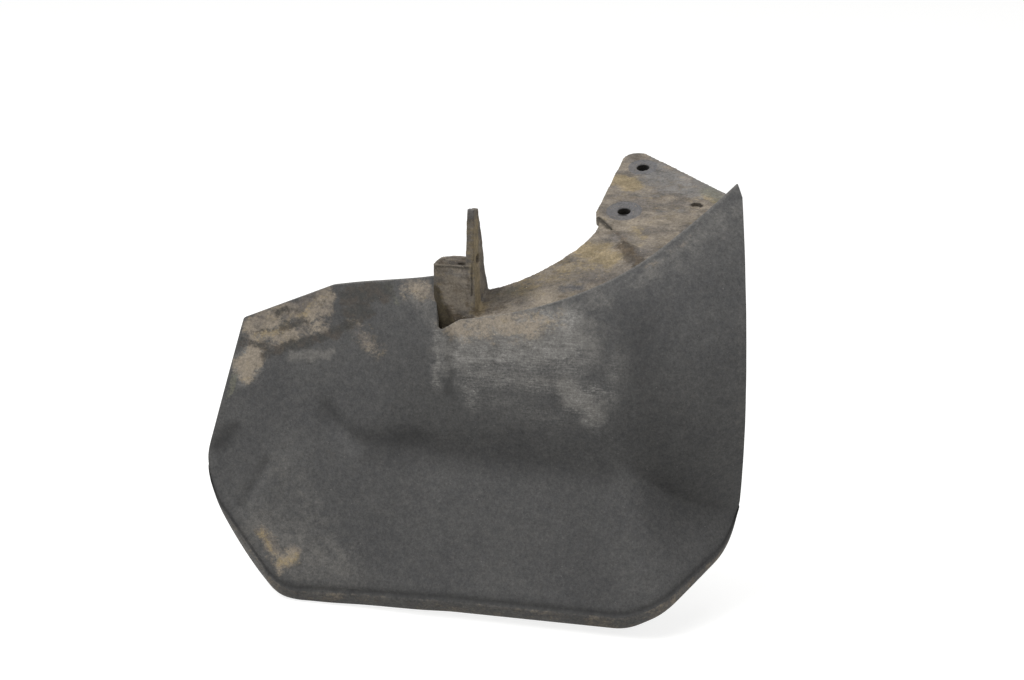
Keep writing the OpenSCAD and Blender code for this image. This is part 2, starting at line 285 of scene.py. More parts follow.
def store_dirt(mesh: bpy.types.Mesh, layers: dict[Dirt, np.ndarray]) -> None:
    """Write the dirt and painted shade layers to the mesh as attributes that the finish reads.

    Args:
        mesh: The mesh that takes the layers.
        layers: One cover for each of its points, by kind.
    """
    for kind, values in layers.items():
        layer = mesh.attributes.new(kind.value, "FLOAT", "POINT")
        layer.data.foreach_set("value", np.clip(values, 0, 1).astype(np.float32).ravel())


# Form of the hanging panel

@dataclass(frozen=True)
class Dent:
    """A soft groove along a short line on the panel, or a ridge where its height is positive."""

    start: Point
    end: Point
    width: float
    height: float

    def rise(self, places: np.ndarray) -> np.ndarray:
        """Return how far the dent moves each place outwards."""
        far = from_line(places, self.start, self.end)
        return self.height * np.exp(-((far / self.width) ** 2))


DENTS = [
    Dent((-128, -131), (-168, -131), 7.0, -1.6),
    Dent((-168, -131), (-178, -124), 6.0, -1.8),
    Dent((-178, -124), (-186, -114), 5.0, -1.2),
    Dent((-187, -115), (-187, -113), 6.0, -1.4),
    Dent((-225, -149), (-241, -176), 2.8, -1.5),
    Dent((-116, -62), (-117, -90), 4.0, 0.55),
    Dent((-108, -62), (-109, -96), 3.0, -0.8),
    Dent((-99, -66), (-101, -92), 4.0, 0.4),
    Dent((-216, -150), (-233, -184), 7.0, 0.9),
]


@dataclass(frozen=True)
class PanelForm:
    """The panel's surface: a bulge with an outer wing, over a flared flap."""

    bulge_depth: float = 80.0
    bulge_drop: float = 100.0
    bulge_r: float = 125.0
    crease_drop: float = 132.0
    flare: float = 22.5
    wing_inset: float = 10.0
    wing_r: float = 130.0
    inner_depth: float = 60.0
    inner_lean: float = 15.6
    shoulder_drop: float = 42.0
    blend_reach: float = 170.0
    blend_w: float = 50.0
    ridge_reach: float = 5.0
    ridge_lean: float = 19.0
    flank_turn: float = 44.0
    edge_turn: float = 16.0
    crease_soft: float = 5.0
    ridge_soft: float = 9.0

    @property
    def shear(self) -> float:
        """Return how far the surface shifts along X for each step back along Y."""
        return math.tan(math.radians(self.edge_turn))

    def depth(self, s: np.ndarray, z: np.ndarray) -> np.ndarray:
        """Return the surface's Y at the places s, z.

        Args:
            s: Places across.
            z: Heights.

        Returns:
            One Y for each place.
        """
        wing = np.where(s > -self.wing_inset, (s + self.wing_inset) ** 2 / (2 * self.wing_r), 0.0)
        bulge = wing - self.bulge_depth + (z + self.bulge_drop) ** 2 / (2 * self.bulge_r)
        fold = self.crease_drop - self.bulge_drop
        crease = self.bulge_depth - fold * fold / (2 * self.bulge_r)
        below = -self.crease_drop - z
        flap = -crease - below * math.tan(math.radians(self.flare))
        ridge = -self.ridge_reach + below * math.tan(math.radians(self.ridge_lean))
        flank = flap + (s - ridge) * math.tan(math.radians(self.flank_turn))
        middle = soft_min(bulge, soft_max(flap, flank, self.ridge_soft), self.crease_soft)
        inner = -self.inner_depth - (-self.shoulder_drop - z) * math.tan(math.radians(self.inner_lean))
        part = ease((s + self.blend_reach) / self.blend_w)
        return inner * (1 - part) + middle * part

    def point(self, s: np.ndarray, z: np.ndarray) -> np.ndarray:
        """Return the surface's points at the places s, z."""
        y = self.depth(s, z)
        return np.stack([s - y * self.shear, y, z + 0 * y], axis=-1)

    def normal(self, s: np.ndarray, z: np.ndarray) -> np.ndarray:
        """Return the directions in which the surface faces, away from the wheel.

        Args:
            s: Places across.
            z: Heights.

        Returns:
            One direction for each place.
        """
        e = 0.5
        ds = (self.depth(s + e, z) - self.depth(s - e, z)) / (2 * e)
        dz = (self.depth(s, z + e) - self.depth(s, z - e)) / (2 * e)
        return unit(np.stack([ds, ds * self.shear - 1, dz], axis=-1))

    def inside(self, s: float, z: float, deep: float) -> np.ndarray:
        """Return the point that lies so deep in the panel's wall."""
        s, z = np.array(float(s)), np.array(float(z))
        return self.point(s, z) - self.normal(s, z) * deep


@dataclass(frozen=True)
class PanelOutline:
    """The outline of the panel in s and z."""

    outer_reach: float = 71.5
    inner_reach: float = 265.2
    tip_height: float = 21.3
    tip_inset: float = 2.6
    tip_length: float = 7.5
    arch_drop: float = 54.0
    arch_mid_drop: float = 5.0
    arch_mid_reach: float = 27.0
    arch_sag: float = 8.0
    step_reach: float = 115.0
    step_top_drop: float = 31.2
    step_height: float = 30.3
    step_lean: float = 1.2
    notch_w: float = 13.0
    shoulder_reach: float = 181.0
    shoulder_drop: float = 42.0
    inner_top_reach: float = 239.3
    inner_top_drop: float = 65.5
    inner_corner_drop: float = 153.5
    inner_heel_reach: float = 256.5
    inner_heel_drop: float = 174.5
    inner_foot_reach: float = 217.0
    inner_foot_drop: float = 222.0
    middle_reach: float = 110.0
    middle_drop: float = 216.1
    outer_foot_reach: float = -1.0
    outer_foot_drop: float = 215.0
    outer_heel_reach: float = 62.0
    outer_heel_drop: float = 187.3
    outer_corner_drop: float = 173.0
    arch_steps: int = 24
    notch_sink: float = 0.5
    inner_top_r: float = 2.5
    shoulder_r: float = 18.0
    step_r: float = 1.2
    notch_r: float = 2.4
    tip_r: float = 0.8
    tip_foot_r: float = 6.0
    middle_r: float = 200.0
    inner_r: float = 40.0
    heel_r: float = 30.0
    inner_foot_r: float = 25.0
    outer_foot_r: float = 40.0
    outer_r: float = 26.0

    @property
    def floor(self) -> float:
        """Return the height of the notch's floor."""
        return -self.step_top_drop - self.step_height

    def points(self) -> np.ndarray:
        """Return the outline's points, with its arcs and bows.

        Returns:
            One row of s and z for each point, going round.
        """
        step = -self.step_reach
        corners = [
            (-self.inner_top_reach, -self.inner_top_drop, self.inner_top_r),
            (-self.shoulder_reach, -self.shoulder_drop, self.shoulder_r),
            (step - 1.5 * self.step_lean, -self.step_top_drop, self.step_r),
            (step - 0.5 * self.step_lean, self.floor - self.notch_sink, self.notch_r),
        ]
        corners += bow((step + self.notch_w, -self.arch_drop),
                       (self.arch_mid_reach, -self.arch_mid_drop), self.arch_sag, self.arch_steps)
        corners += [
            (self.outer_reach - self.tip_inset, self.tip_height, self.tip_r),
            (self.outer_reach, self.tip_height - self.tip_length, self.tip_foot_r),
            (self.outer_reach, -self.outer_corner_drop, self.outer_r),
            (self.outer_heel_reach, -self.outer_heel_drop, self.heel_r),
            (self.outer_foot_reach, -self.outer_foot_drop, self.outer_foot_r),
            (-self.middle_reach, -self.middle_drop, self.middle_r),
            (-self.inner_foot_reach, -self.inner_foot_drop, self.inner_foot_r),
            (-self.inner_heel_reach, -self.inner_heel_drop, self.heel_r),
            (-self.inner_reach, -self.inner_corner_drop, self.inner_r),
        ]
        return rounded(corners)

    def heights(self, s: np.ndarray) -> tuple[np.ndarray, np.ndarray]:
        """Return the outline's upper and lower height at each s.

        Args:
            s: Places across.

        Returns:
            The upper heights and the lower heights.
        """
        line = self.points()
        after = np.roll(line, -1, axis=0)
        top, bottom = np.full(len(s), -1e9), np.full(len(s), 1e9)
        for a, b in zip(line, after):
            hit = (a[0] <= s) != (b[0] <= s)
            z = a[1] + (b[1] - a[1]) * (s - a[0]) / np.where(hit, b[0] - a[0], 1.0)
            top = np.where(hit, np.maximum(top, z), top)
            bottom = np.where(hit, np.minimum(bottom, z), bottom)
        return top, bottom

    def top(self, s: float) -> float:
        """Return the outline's upper height at one s."""
        return float(self.heights(np.array([s]))[0][0])


# Finishes

class Graph:
    """The node graph of one material, with short methods for the nodes that it uses."""

    def __init__(self, name: str, streak: Rgb = (1.0, 1.0, 1.0)) -> None:
        """Start an empty material with a principled shader, whose dirt may run in streaks.

        Args:
            name: Name of the material.
            streak: Scale of the dirt's pattern along each axis.
        """
        self.streak = streak
        self.material = bpy.data.materials.new(name)
        self.material.use_nodes = True
        self.tree = self.material.node_tree
        self.tree.nodes.clear()
        self.shader = self.tree.nodes.new("ShaderNodeBsdfPrincipled")
        output = self.tree.nodes.new("ShaderNodeOutputMaterial")
        self.tree.links.new(self.shader.outputs[0], output.inputs["Surface"])
        self.place = self.tree.nodes.new("ShaderNodeTexCoord").outputs["Object"]

    def plug(self, socket: bpy.types.NodeSocket, value: object) -> None:
        """Link a socket to another one, or set its own value.

        Args:
            socket: The input socket.
            value: An output socket, a colour or a number.
        """
        if isinstance(value, bpy.types.NodeSocket):
            self.tree.links.new(value, socket)
        elif isinstance(value, tuple) and len(value) == 3 and socket.type == "RGBA":
            socket.default_value = (*value, 1.0)
        else:
            socket.default_value = value

    def math(self, kind: str, a: object, b: object = 0.0) -> bpy.types.NodeSocket:
        """Return the result of one sum.

        Args:
            kind: The sum's kind, as the math node names it.
            a: First value.
            b: Second value.

        Returns:
            The result.
        """
        node = self.tree.nodes.new("ShaderNodeMath")
        node.operation = kind
        self.plug(node.inputs[0], a)
        self.plug(node.inputs[1], b)
        return node.outputs[0]

    def times(self, a: object, b: object) -> bpy.types.NodeSocket:
        """Return a times b."""
        return self.math("MULTIPLY", a, b)

    def plus(self, a: object, b: object) -> bpy.types.NodeSocket:
        """Return a plus b."""
        return self.math("ADD", a, b)

    def minus(self, a: object, b: object) -> bpy.types.NodeSocket:
        """Return a minus b."""
        return self.math("SUBTRACT", a, b)

    def stretched(self, stretch: Rgb) -> bpy.types.NodeSocket:
        """Return the place on the object, stretched along each axis.

        Args:
            stretch: Scale along each axis.

        Returns:
            The stretched place.
        """
        node = self.tree.nodes.new("ShaderNodeMapping")
        self.plug(node.inputs["Vector"], self.place)
        node.inputs["Scale"].default_value = stretch
        return node.outputs[0]

    def noise(self, size: float, detail: float = 4.0, rough: float = 0.55, stretch: Rgb = (1, 1, 1),
              shift: float = 0.0) -> bpy.types.NodeSocket:
        """Return a noise pattern.

        Args:
            size: Size of its blots, in millimetres.
            detail: Number of finer layers.
            rough: Strength of the finer layers.
            stretch: Scale along each axis.
            shift: Value that makes one pattern unlike another.

        Returns:
            The noise, about 0.5 in the middle.
        """
        node = self.tree.nodes.new("ShaderNodeTexNoise")
        node.noise_dimensions = "4D"
        self.plug(node.inputs["Vector"], self.stretched(stretch))
        node.inputs["W"].default_value = shift
        node.inputs["Scale"].default_value = 1.0 / (size * MM)
        node.inputs["Detail"].default_value = detail
        node.inputs["Roughness"].default_value = rough
        return node.outputs["Fac"]

    def step(self, value: object, low: float, high: float, top: float = 1.0) -> bpy.types.NodeSocket:
        """Return a soft step from 0 to top as the value goes from low to high.

        Args:
            value: The value that is stepped.
            low: Value at which the step starts.
            high: Value at which it ends.
            top: Height of the step.

        Returns:
            The stepped value.
        """
        node = self.tree.nodes.new("ShaderNodeMapRange")
        node.interpolation_type = "SMOOTHSTEP"
        for name, number in (("From Min", low), ("From Max", high), ("To Min", 0.0), ("To Max", top)):
            node.inputs[name].default_value = number
        self.plug(node.inputs["Value"], value)
        return node.outputs[0]

    def layer(self, kind: Dirt) -> bpy.types.NodeSocket:
        """Return one of the mesh's layers of dirt or painted shade.

        Args:
            kind: The kind of dirt, or the painted shade.

        Returns:
            Its cover, 0 to 1.
        """
        node = self.tree.nodes.new("ShaderNodeAttribute")
        node.attribute_name = kind.value
        return node.outputs["Fac"]

    def mix(self, share: object, a: object, b: object, how: str = "MIX") -> bpy.types.NodeSocket:
        """Return colour a with a share of colour b on it.

        Args:
            share: Share of colour b.
            a: Colour below.
            b: Colour on top.
            how: Way in which they blend.

        Returns:
            The mixed colour.
        """
        node = self.tree.nodes.new("ShaderNodeMix")
        node.data_type = "RGBA"
        node.blend_type = how
        self.plug(node.inputs[0], share)
        self.plug(node.inputs[6], a)
        self.plug(node.inputs[7], b)
        return node.outputs[2]

    def broken(self, kind: Dirt, size: float, spread: float, shift: float) -> bpy.types.NodeSocket:
        """Return a dirt layer whose cover is broken up by noise.

        Args:
            kind: The dirt layer.
            size: Size of the breaks, in millimetres.
            spread: How far the noise reaches into the cover.
            shift: Value that makes one pattern unlike another.

        Returns:
            The broken cover, 0 to 1.
        """
        coarse = self.minus(self.noise(size, 6.0, 0.62, self.streak, shift), 0.5)
        fine = self.minus(self.noise(1.5, 3.0, 0.7, self.streak, shift + 30.0), 0.5)
        rough = self.plus(self.times(coarse, spread), self.times(fine, spread * 0.8))
        value = self.step(self.plus(self.layer(kind), rough), 0.08, 0.78)
        return self.times(value, self.step(self.layer(kind), 0.0, 0.3))

    def relief(self, height: bpy.types.NodeSocket, distance: float, strength: float) -> None:
        """Give the surface a fine relief.

        Args:
            height: The relief's pattern.
            distance: Its depth, in millimetres.
            strength: Its strength, 0 to 1.
        """
        node = self.tree.nodes.new("ShaderNodeBump")
        node.inputs["Distance"].default_value = distance * MM
        node.inputs["Strength"].default_value = strength
        self.plug(node.inputs["Height"], height)
        self.plug(self.shader.inputs["Normal"], node.outputs[0])


@dataclass(frozen=True)
class DirtyPlastic:
    """Matt black plastic, greyed by fine dust, with patches of mud, stains and scuffs, and darkened by a
    layer of painted shade.
    """

    name: str
    plastic: Rgb = (0.061, 0.061, 0.062)
    plastic_worn: Rgb = (0.076, 0.0755, 0.075)
    patchy: float = 1.0
    dust: Rgb = (0.170, 0.162, 0.150)
    mud: Rgb = (0.315, 0.270, 0.215)
    mud_grey: Rgb = (0.155, 0.139, 0.125)
    yellow: Rgb = (0.330, 0.262, 0.155)
    stain: Rgb = (0.049, 0.048, 0.044)
    brown: Rgb = (0.074, 0.063, 0.053)
    green: Rgb = (0.175, 0.172, 0.128)
    scratch: Rgb = (0.300, 0.290, 0.272)
    clean: Rgb = (0.118, 0.117, 0.122)
    streak: Rgb = (0.75, 1.0, 1.0)
    grain: float = 1.5
    bump: float = 0.35
    dust_cover: float = 0.85
    scuff_cover: float = 0.8
    mud_cover: float = 0.92
    shade_depth: float = 0.9
    roughness: float = 0.66
    mud_roughness: float = 0.28
    gloss: float = 0.28

    def dirty(self, g: Graph) -> tuple[bpy.types.NodeSocket, bpy.types.NodeSocket]:
        """Return the colour of the plastic under its dirt, and the cover of dry mud.

        Args:
            g: The material's graph.

        Returns:
            The colour, and the cover of mud, 0 to 1.
        """
        colour = g.mix(g.step(g.noise(36, 6, 0.62), 0.38, 0.62), self.plastic, self.plastic_worn)
        film = g.step(g.noise(4, 7, 0.75, shift=3.0), 0.36, 0.7, 0.26)
        colour = g.mix(film, colour, self.dust)
        dust = g.broken(Dirt.DUST, 6.0, self.patchy, 1.3)
        colour = g.mix(g.times(dust, self.dust_cover), colour, self.dust)
        fine = g.step(g.noise(1.0, 4, 0.7, (0.09, 0.3, 1.6), 8.0), 0.47, 0.62)
        rubbed = g.step(g.noise(9.0, 7, 0.78, (0.5, 0.6, 1.3), 5.5), 0.44, 0.60)
        speckle = g.step(g.noise(1.1, 2, 0.6, shift=15.0), 0.48, 0.68)
        rub = g.plus(g.times(fine, 0.5), g.times(rubbed, 0.6))
        rub = g.plus(rub, g.plus(g.times(speckle, 0.55), 0.06))
        scuff = g.times(g.layer(Dirt.SCUFF), rub)
        colour = g.mix(g.times(scuff, self.scuff_cover), colour, self.scratch)
        pale = g.plus(g.noise(12, 7, 0.66, self.streak, 6.2), g.times(g.layer(Dirt.SCUFF), 0.2))
        tone = g.mix(g.step(pale, 0.38, 0.62), self.mud_grey, self.mud)
        tone = g.mix(g.step(g.noise(5, 7, 0.72, self.streak, 2.2), 0.52, 0.70, 0.6), tone, self.yellow)
        tone = g.mix(g.step(g.noise(6, 7, 0.72, self.streak, 2.9), 0.52, 0.68, 0.5), tone, self.brown)
        mud = g.broken(Dirt.MUD, 8.0, 2.0, 4.1)
        colour = g.mix(g.times(mud, self.mud_cover), colour, tone)
        dark = g.mix(g.step(g.noise(7, 6, 0.66, shift=7.7), 0.44, 0.6), self.stain, self.brown)
        for kind, size, spread, shift, cover, tint in (
            (Dirt.YELLOW, 7.0, 2.2, 9.4, 0.8, self.yellow),
            (Dirt.GREEN, 6.0, 2.0, 2.7, 0.6, self.green),
            (Dirt.STAIN, 5.0, 1.7, 0.6, 0.82, dark),
            (Dirt.CLEAN, 2.5, 1.2, 5.1, 0.85, self.clean),
            (Dirt.EDGE, 3.0, 2.0, 3.9, 0.5, self.dust),
        ):
            colour = g.mix(g.times(g.broken(kind, size, spread, shift), cover), colour, tint)
        return colour, mud

    def build(self) -> bpy.types.Material:
        """Return the material.

        Returns:
            The new material, which reads the mesh's dirt and painted shade layers.
        """
        g = Graph(self.name, self.streak)
        colour, mud = self.dirty(g)
        speck = g.step(g.noise(1.6, 2, 0.5, shift=11.0), 0.70, 0.76)
        colour = g.mix(g.times(speck, 0.4), colour, self.scratch)
        fine = g.minus(g.noise(1.6, 2, 0.9, shift=12.0), 0.5)
        middle = g.minus(g.noise(5.0, 4, 0.65, shift=13.0), 0.5)
        grain = g.plus(g.times(fine, self.grain), g.times(middle, 0.5))
        shade = g.minus(1.0, g.times(g.layer(Dirt.SHADE), self.shade_depth))
        shade = g.times(shade, g.plus(1.0, grain))
        colour = g.mix(1.0, colour, shade, "MULTIPLY")
        g.plug(g.shader.inputs["Base Color"], colour)
        g.plug(g.shader.inputs["Roughness"], g.plus(self.roughness, g.times(mud, self.mud_roughness)))
        g.shader.inputs["Specular IOR Level"].default_value = self.gloss
        pores = g.noise(0.8, 4, 0.7, shift=21.0)
        crust = g.times(g.noise(2.4, 5, 0.7, self.streak, 23.0), mud)
        g.relief(g.plus(pores, g.times(crust, 1.5)), 0.4, self.bump)
        return g.material


# Pieces

def dirt_and_shade_of_panel() -> list[Patch]:
    """Return the patches of dirt, painted shade and a painted sheen on the panel's outer face, in s and z.

    Returns:
        The patches, as lay_dirt takes them.
    """
    return [
        Patch(Dirt.MUD, (-234, -70), (-186, -50), 5, 9, 1.0),
        Patch(Dirt.MUD, (-230, -79), (-206, -71), 3, 9, 0.85),
        Patch(Dirt.MUD, (-197, -61), (-187, -54), 5, 8, 0.9),
        Patch(Dirt.MUD, (-230, -80), (-192, -65), 8, 12, 0.5),
        Patch(Dirt.MUD, (-233, -88), (-239, -97), 6, 8, 1.0),
        Patch(Dirt.YELLOW, (-230, -76), (-212, -70), 1.5, 7, 0.6),
        Patch(Dirt.YELLOW, (-200, -60), (-188, -50), 2, 9, 0.5),
        Patch(Dirt.YELLOW, (-235, -90), (-238, -96), 1, 8, 0.3),
        Patch(Dirt.SCUFF, (-233, -87), (-239, -98), 7, 6, 1.0),
        Patch(Dirt.SCUFF, (-231, -76), (-214, -71), 2, 7, 0.8),
        Patch(Dirt.SCUFF, (-200, -62), (-188, -52), 3, 8, 0.7),
        Patch(Dirt.GREEN, (-246, -102), (-249, -112), 1.5, 5, 0.8),
        Patch(Dirt.MUD, (-167, -64), (-156, -77), 4, 16, 0.5),
        Patch(Dirt.YELLOW, (-159, -65), (-155, -70), 1, 10, 0.3),
        Patch(Dirt.MUD, (-133, -40), (-121, -40), 5, 10, 0.75),
        Patch(Dirt.DUST, (-130, -46), (-118, -54), 5, 24, 0.55),
        Patch(Dirt.DUST, (-208, -86), (-184, -82), 3, 7, 0.7),
        Patch(Dirt.MUD, (-105, -58), (-60, -54), 7, 16, 0.8),
        Patch(Dirt.MUD, (-60, -54), (-44, -50), 4, 16, 0.64),
        Patch(Dirt.SCUFF, (-103, -60), (-36, -51), 7, 12, 1.0),
        Patch(Dirt.DUST, (-46, -47), (-14, -36), 4, 20, 0.55),
        Patch(Dirt.DUST, (-104, -70), (-30, -58), 14, 30, 0.6),
        Patch(Dirt.DUST, (-8, -62), (-3, -76), 4, 24, 0.4),
        Patch(Dirt.MUD, (12, -20), (40, -4), 1.0, 5, 0.35),
        Patch(Dirt.DUST, (6, -26), (56, 4), 4, 20, 0.6),
        Patch(Dirt.DUST, (20, -20), (66, 6), 8, 34, 0.4),
        # Painted sheen down the wing's outer edge, laid as pale dust.
        Patch(Dirt.DUST, (67, -40), (69, -125), 1.5, 14, 0.4),
        Patch(Dirt.MUD, (-227, -192), (-221, -199), 4.5, 9, 0.9),
        Patch(Dirt.MUD, (-216, -208), (-207, -199), 4.0, 9, 0.75),
        Patch(Dirt.YELLOW, (-228, -192), (-223, -197), 2.5, 6, 0.7),
        Patch(Dirt.YELLOW, (-216, -206), (-206, -203), 2.0, 6, 0.7),
        Patch(Dirt.MUD, (-211, -181), (-210, -183), 0.5, 6, 0.45),
        Patch(Dirt.DUST, (-228, -190), (-180, -206), 14, 54, 0.6),
        Patch(Dirt.DUST, (-215, -150), (-190, -185), 10, 60, 0.42),
        Patch(Dirt.MUD, (-188, -138), (-180, -142), 1, 14, 0.35),
        Patch(Dirt.SCUFF, (-104, -74), (-36, -68), 12, 24, 0.85),
        Patch(Dirt.SCUFF, (-92, -86), (-40, -87), 4, 13, 1.0),
        Patch(Dirt.SCUFF, (-38, -89), (-20, -91), 6, 11, 1.0),
        Patch(Dirt.SCUFF, (-30, -97), (-22, -104), 7, 11, 1.0),
        Patch(Dirt.SCUFF, (-8, -72), (-12, -94), 4, 14, 0.6),
        Patch(Dirt.SCUFF, (-80, -100), (-40, -106), 6, 24, 0.4),
        Patch(Dirt.DUST, (-92, -84), (-48, -85), 4, 20, 0.5),
        Patch(Dirt.DUST, (-38, -88), (-21, -100), 6, 14, 0.85),
        Patch(Dirt.SCUFF, (-115.5, -62), (-116, -94), 2.0, 6, 1.0),
        Patch(Dirt.DUST, (-116, -56), (-116, -90), 1.5, 7, 0.6),
        Patch(Dirt.SCUFF, (-97, -70), (-94, -102), 4, 10, 1.0),
        Patch(Dirt.STAIN, (-172, -49), (-149, -43), 5.5, 8, 0.95),
        Patch(Dirt.STAIN, (-175, -60), (-160, -53), 3, 7, 0.9),
        Patch(Dirt.STAIN, (-227, -86), (-212, -81), 2.5, 5, 0.95),
        Patch(Dirt.STAIN, (-212, -81), (-179, -70), 2.8, 6, 0.95),
        Patch(Dirt.STAIN, (-180, -70), (-158, -56), 2.6, 6, 0.9),
        Patch(Dirt.GREEN, (-145, -40), (-141, -48), 1, 8, 0.5),
        Patch(Dirt.STAIN, (-219, -62.5), (-204, -58), 1.6, 5, 0.75),
        Patch(Dirt.STAIN, (-233, -74), (-213, -69), 0.8, 4, 0.55),
        Patch(Dirt.STAIN, (-215, -71), (-200, -65), 2.2, 6, 0.85),
        Patch(Dirt.STAIN, (-241, -80), (-224, -82), 2.6, 6, 0.75),
        Patch(Dirt.STAIN, (-197, -58), (-186, -51), 0.7, 5, 0.4),
        # Painted shade in the dimple, the short slanting groove and the groove under the step, with a dark
        # smudge at the inner edge among them.
        Patch(Dirt.SHADE, (-188, -119), (-185, -116), 4.5, 7, 0.46),
        Patch(Dirt.SHADE, (-256, -140), (-246, -131), 4.5, 10, 0.58),
        Patch(Dirt.SHADE, (-225, -149), (-241, -176), 0.8, 5, 0.32),
        Patch(Dirt.SHADE, (-107, -64), (-109, -98), 2.6, 5, 0.42),
        # Painted shade in the band over the crease, where the bulge turns down.
        Patch(Dirt.SHADE, (-165, -127), (-14, -130), 3, 22, 0.28),
        Patch(Dirt.SHADE, (-160, -133), (-14, -138), 8, 18, 0.46),
        # The flap darker over its middle.
        Patch(Dirt.SHADE, (-120, -178), (-10, -182), 20, 80, 0.14),
        # The outer wing darker, partly painted shade where it turns down and away, partly darker grime.
        Patch(Dirt.SHADE, (12, -105), (30, -160), 14, 54, 0.34),
        Patch(Dirt.SHADE, (6, -50), (12, -100), 9, 40, 0.34),
        # The flap darker towards its right side.
        Patch(Dirt.SHADE, (-30, -150), (-18, -200), 14, 60, 0.2),
    ]


@dataclass
class SplashPanel:
    """The hanging panel with its folded rim, as one closed shell."""

    form: PanelForm
    line: PanelOutline
    finish: bpy.types.Material
    wall: float = 3.0
    rim_turn: float = 32.0
    rim_swell: float = 0.09
    fold_r: float = 1.6
    edge_r: float = 0.7
    edge_turns: tuple[float, ...] = (30.0, 60.0, 90.0)
    middle_row: float = -80.0
    near_rim: float = 9.0
    last_row: float = 1.2
    row_counts: tuple[int, ...] = (34, 36, 44, 14)
    waves: float = 0.22
    wave_size: float = 26.0
    groove_depth: float = 0.8
    groove_rise: float = 1.6
    groove_w: float = 1.5
    full_rim_w: float = 7.0
    rim_run_out: float = 14.0
    dirt_size: float = 8.0
    dirt_drift: float = 2.6
    rim_mud: float = 0.24
    chamfer_mud: float = 0.14
    rim_dust: float = 0.32
    groove_shade: float = 0.55
    edge_wear: float = 0.75
    back_mud: float = 0.55
    back_dust: float = 0.7
    rim_widths: tuple[Point, ...] = (
        (-259, 1.0), (-254, 10.4), (-249, 16.4), (-242, 20.0), (-234, 19.8), (-222, 13.0), (-210, 9.4),
        (-200, 9.8), (-185, 10.8), (-127, 11.4), (-8, 11.0), (5, 10.2), (21, 9.2), (38, 7.4), (55, 5.4),
        (62, 4.2), (67, 2.2), (70, 0.6), (71.5, 0.0),
    )

    def columns(self) -> np.ndarray:
        """Return the places across at which the surface is drawn, closer at its ends and step.

        Returns:
            The places across, from the inner side to the outer one.
        """
        line = self.line
        left = float(line.points()[:, 0].min()) + 0.12
        right = line.outer_reach - 0.1
        step = -line.step_reach
        runs = [
            left + (-line.inner_top_reach - left) * np.linspace(0, 1, 24) ** 1.7,
            np.linspace(-line.inner_top_reach, step - 3, 84)[1:],
            np.linspace(step - 3, step + 5, 17)[1:],
            np.linspace(step + 5, line.outer_reach - 8, 116)[1:],
            np.linspace(line.outer_reach - 8, line.outer_reach - 3.4, 6)[1:],
            right - 3.3 * np.linspace(1, 0, 7)[1:] ** 1.6,
        ]
        return np.concatenate(runs)

    def rows(self, top: np.ndarray, bottom: np.ndarray) -> np.ndarray:
        """Return the heights of each column's points, with rows along the crease and over it.

        Args:
            top: Upper height of each column.
            bottom: Lower height of each column.

        Returns:
            The heights, one row for each column.
        """
        least = 0.35 * (top - bottom)
        crease = np.clip(-self.form.crease_drop, bottom + least, top - least)
        middle = np.clip(self.middle_row, crease + 0.3 * (top - crease), top - 0.25 * (top - crease))
        near = bottom + np.minimum(self.near_rim, 0.4 * (crease - bottom))
        last = bottom + np.minimum(self.last_row, 0.06 * (crease - bottom))
        bands = []
        for a, b, n in zip((top, middle, crease, near), (middle, crease, near, last), self.row_counts):
            bands.append(a[:, None] + (b - a)[:, None] * (np.arange(n) / n)[None, :])
        return np.concatenate([*bands, last[:, None]], axis=1)

    def rim(self, s: np.ndarray) -> np.ndarray:
        """Return the width of the folded rim at each place across."""
        at, width = np.array(self.rim_widths).T
        return np.maximum(sum(np.interp(s + k, at, width) for k in (-3, -1.5, 0, 1.5, 3)) / 5, 0.3)

    def surfaces(self) -> tuple[np.ndarray, np.ndarray, np.ndarray, np.ndarray]:
        """Return the outer points, the inner points and their places s, z as grids.

        Returns:
            The outer points, the inner points, s and z.
        """
        s = self.columns()
        top, bottom = self.line.heights(s)
        z = self.rows(top, bottom)
        sheet_s = np.repeat(s[:, None], z.shape[1], axis=1)
        places = np.stack([sheet_s, z], axis=-1)
        points = self.form.point(sheet_s, z)
        lift = sum(dent.rise(places) for dent in DENTS)
        lift = lift + self.waves * wander(places, self.wave_size, 4.0)
        over = z - bottom[:, None]
        lift = lift - self.groove_depth * np.exp(-((over - self.groove_rise) / self.groove_w) ** 2)
        points = points + self.form.normal(sheet_s, z) * lift[..., None]
        fold = self.form.point(s, bottom)
        turn = math.radians(self.rim_turn)
        down = np.array([0.0, math.sin(turn), -math.cos(turn)])
        out = np.array([0.0, -math.cos(turn), -math.sin(turn)])
        width = self.rim(s)[:, None]
        first = np.minimum(self.fold_r, 0.3 * width)
        quarters = (0.25, 0.5, 0.75)
        begin, end = points[:, -1], fold + down * first + out * self.rim_swell * width * 0.45
        arc = [begin * (1 - t) ** 2 + fold * 2 * t * (1 - t) + end * t * t for t in quarters]
        rim = []
        for t in np.linspace(0, 1, 10):
            swell = self.rim_swell * width * (0.45 + 0.55 * math.sin(math.pi * min(t * 0.9 + 0.1, 1.0)))
            rim.append(fold + down * (first + (width - first) * t) + out * swell)
        outer = np.concatenate([points, np.stack(arc + rim, axis=1)], axis=1)
        extra = outer.shape[1] - z.shape[1]
        s_all = np.concatenate([sheet_s, np.repeat(s[:, None], extra, axis=1)], axis=1)
        z_all = np.concatenate([z, bottom[:, None] - width * np.linspace(0, 1, extra)[None, :]], axis=1)
        facing = self.form.normal(sheet_s, z)
        share = np.clip(width / self.full_rim_w, 0.0, 1.0)
        share = share * ease((self.line.outer_reach - s) / self.rim_run_out)[:, None]
        turned = unit(facing[:, -1] * (1 - share) + out * share)
        turns = [unit(facing[:, -1] * (1 - t) + turned * t) for t in quarters]
        facing = np.concatenate([facing, np.stack(turns + [turned] * len(rim), axis=1)], axis=1)
        inner = outer - facing * self.wall
        return outer, inner, s_all, z_all

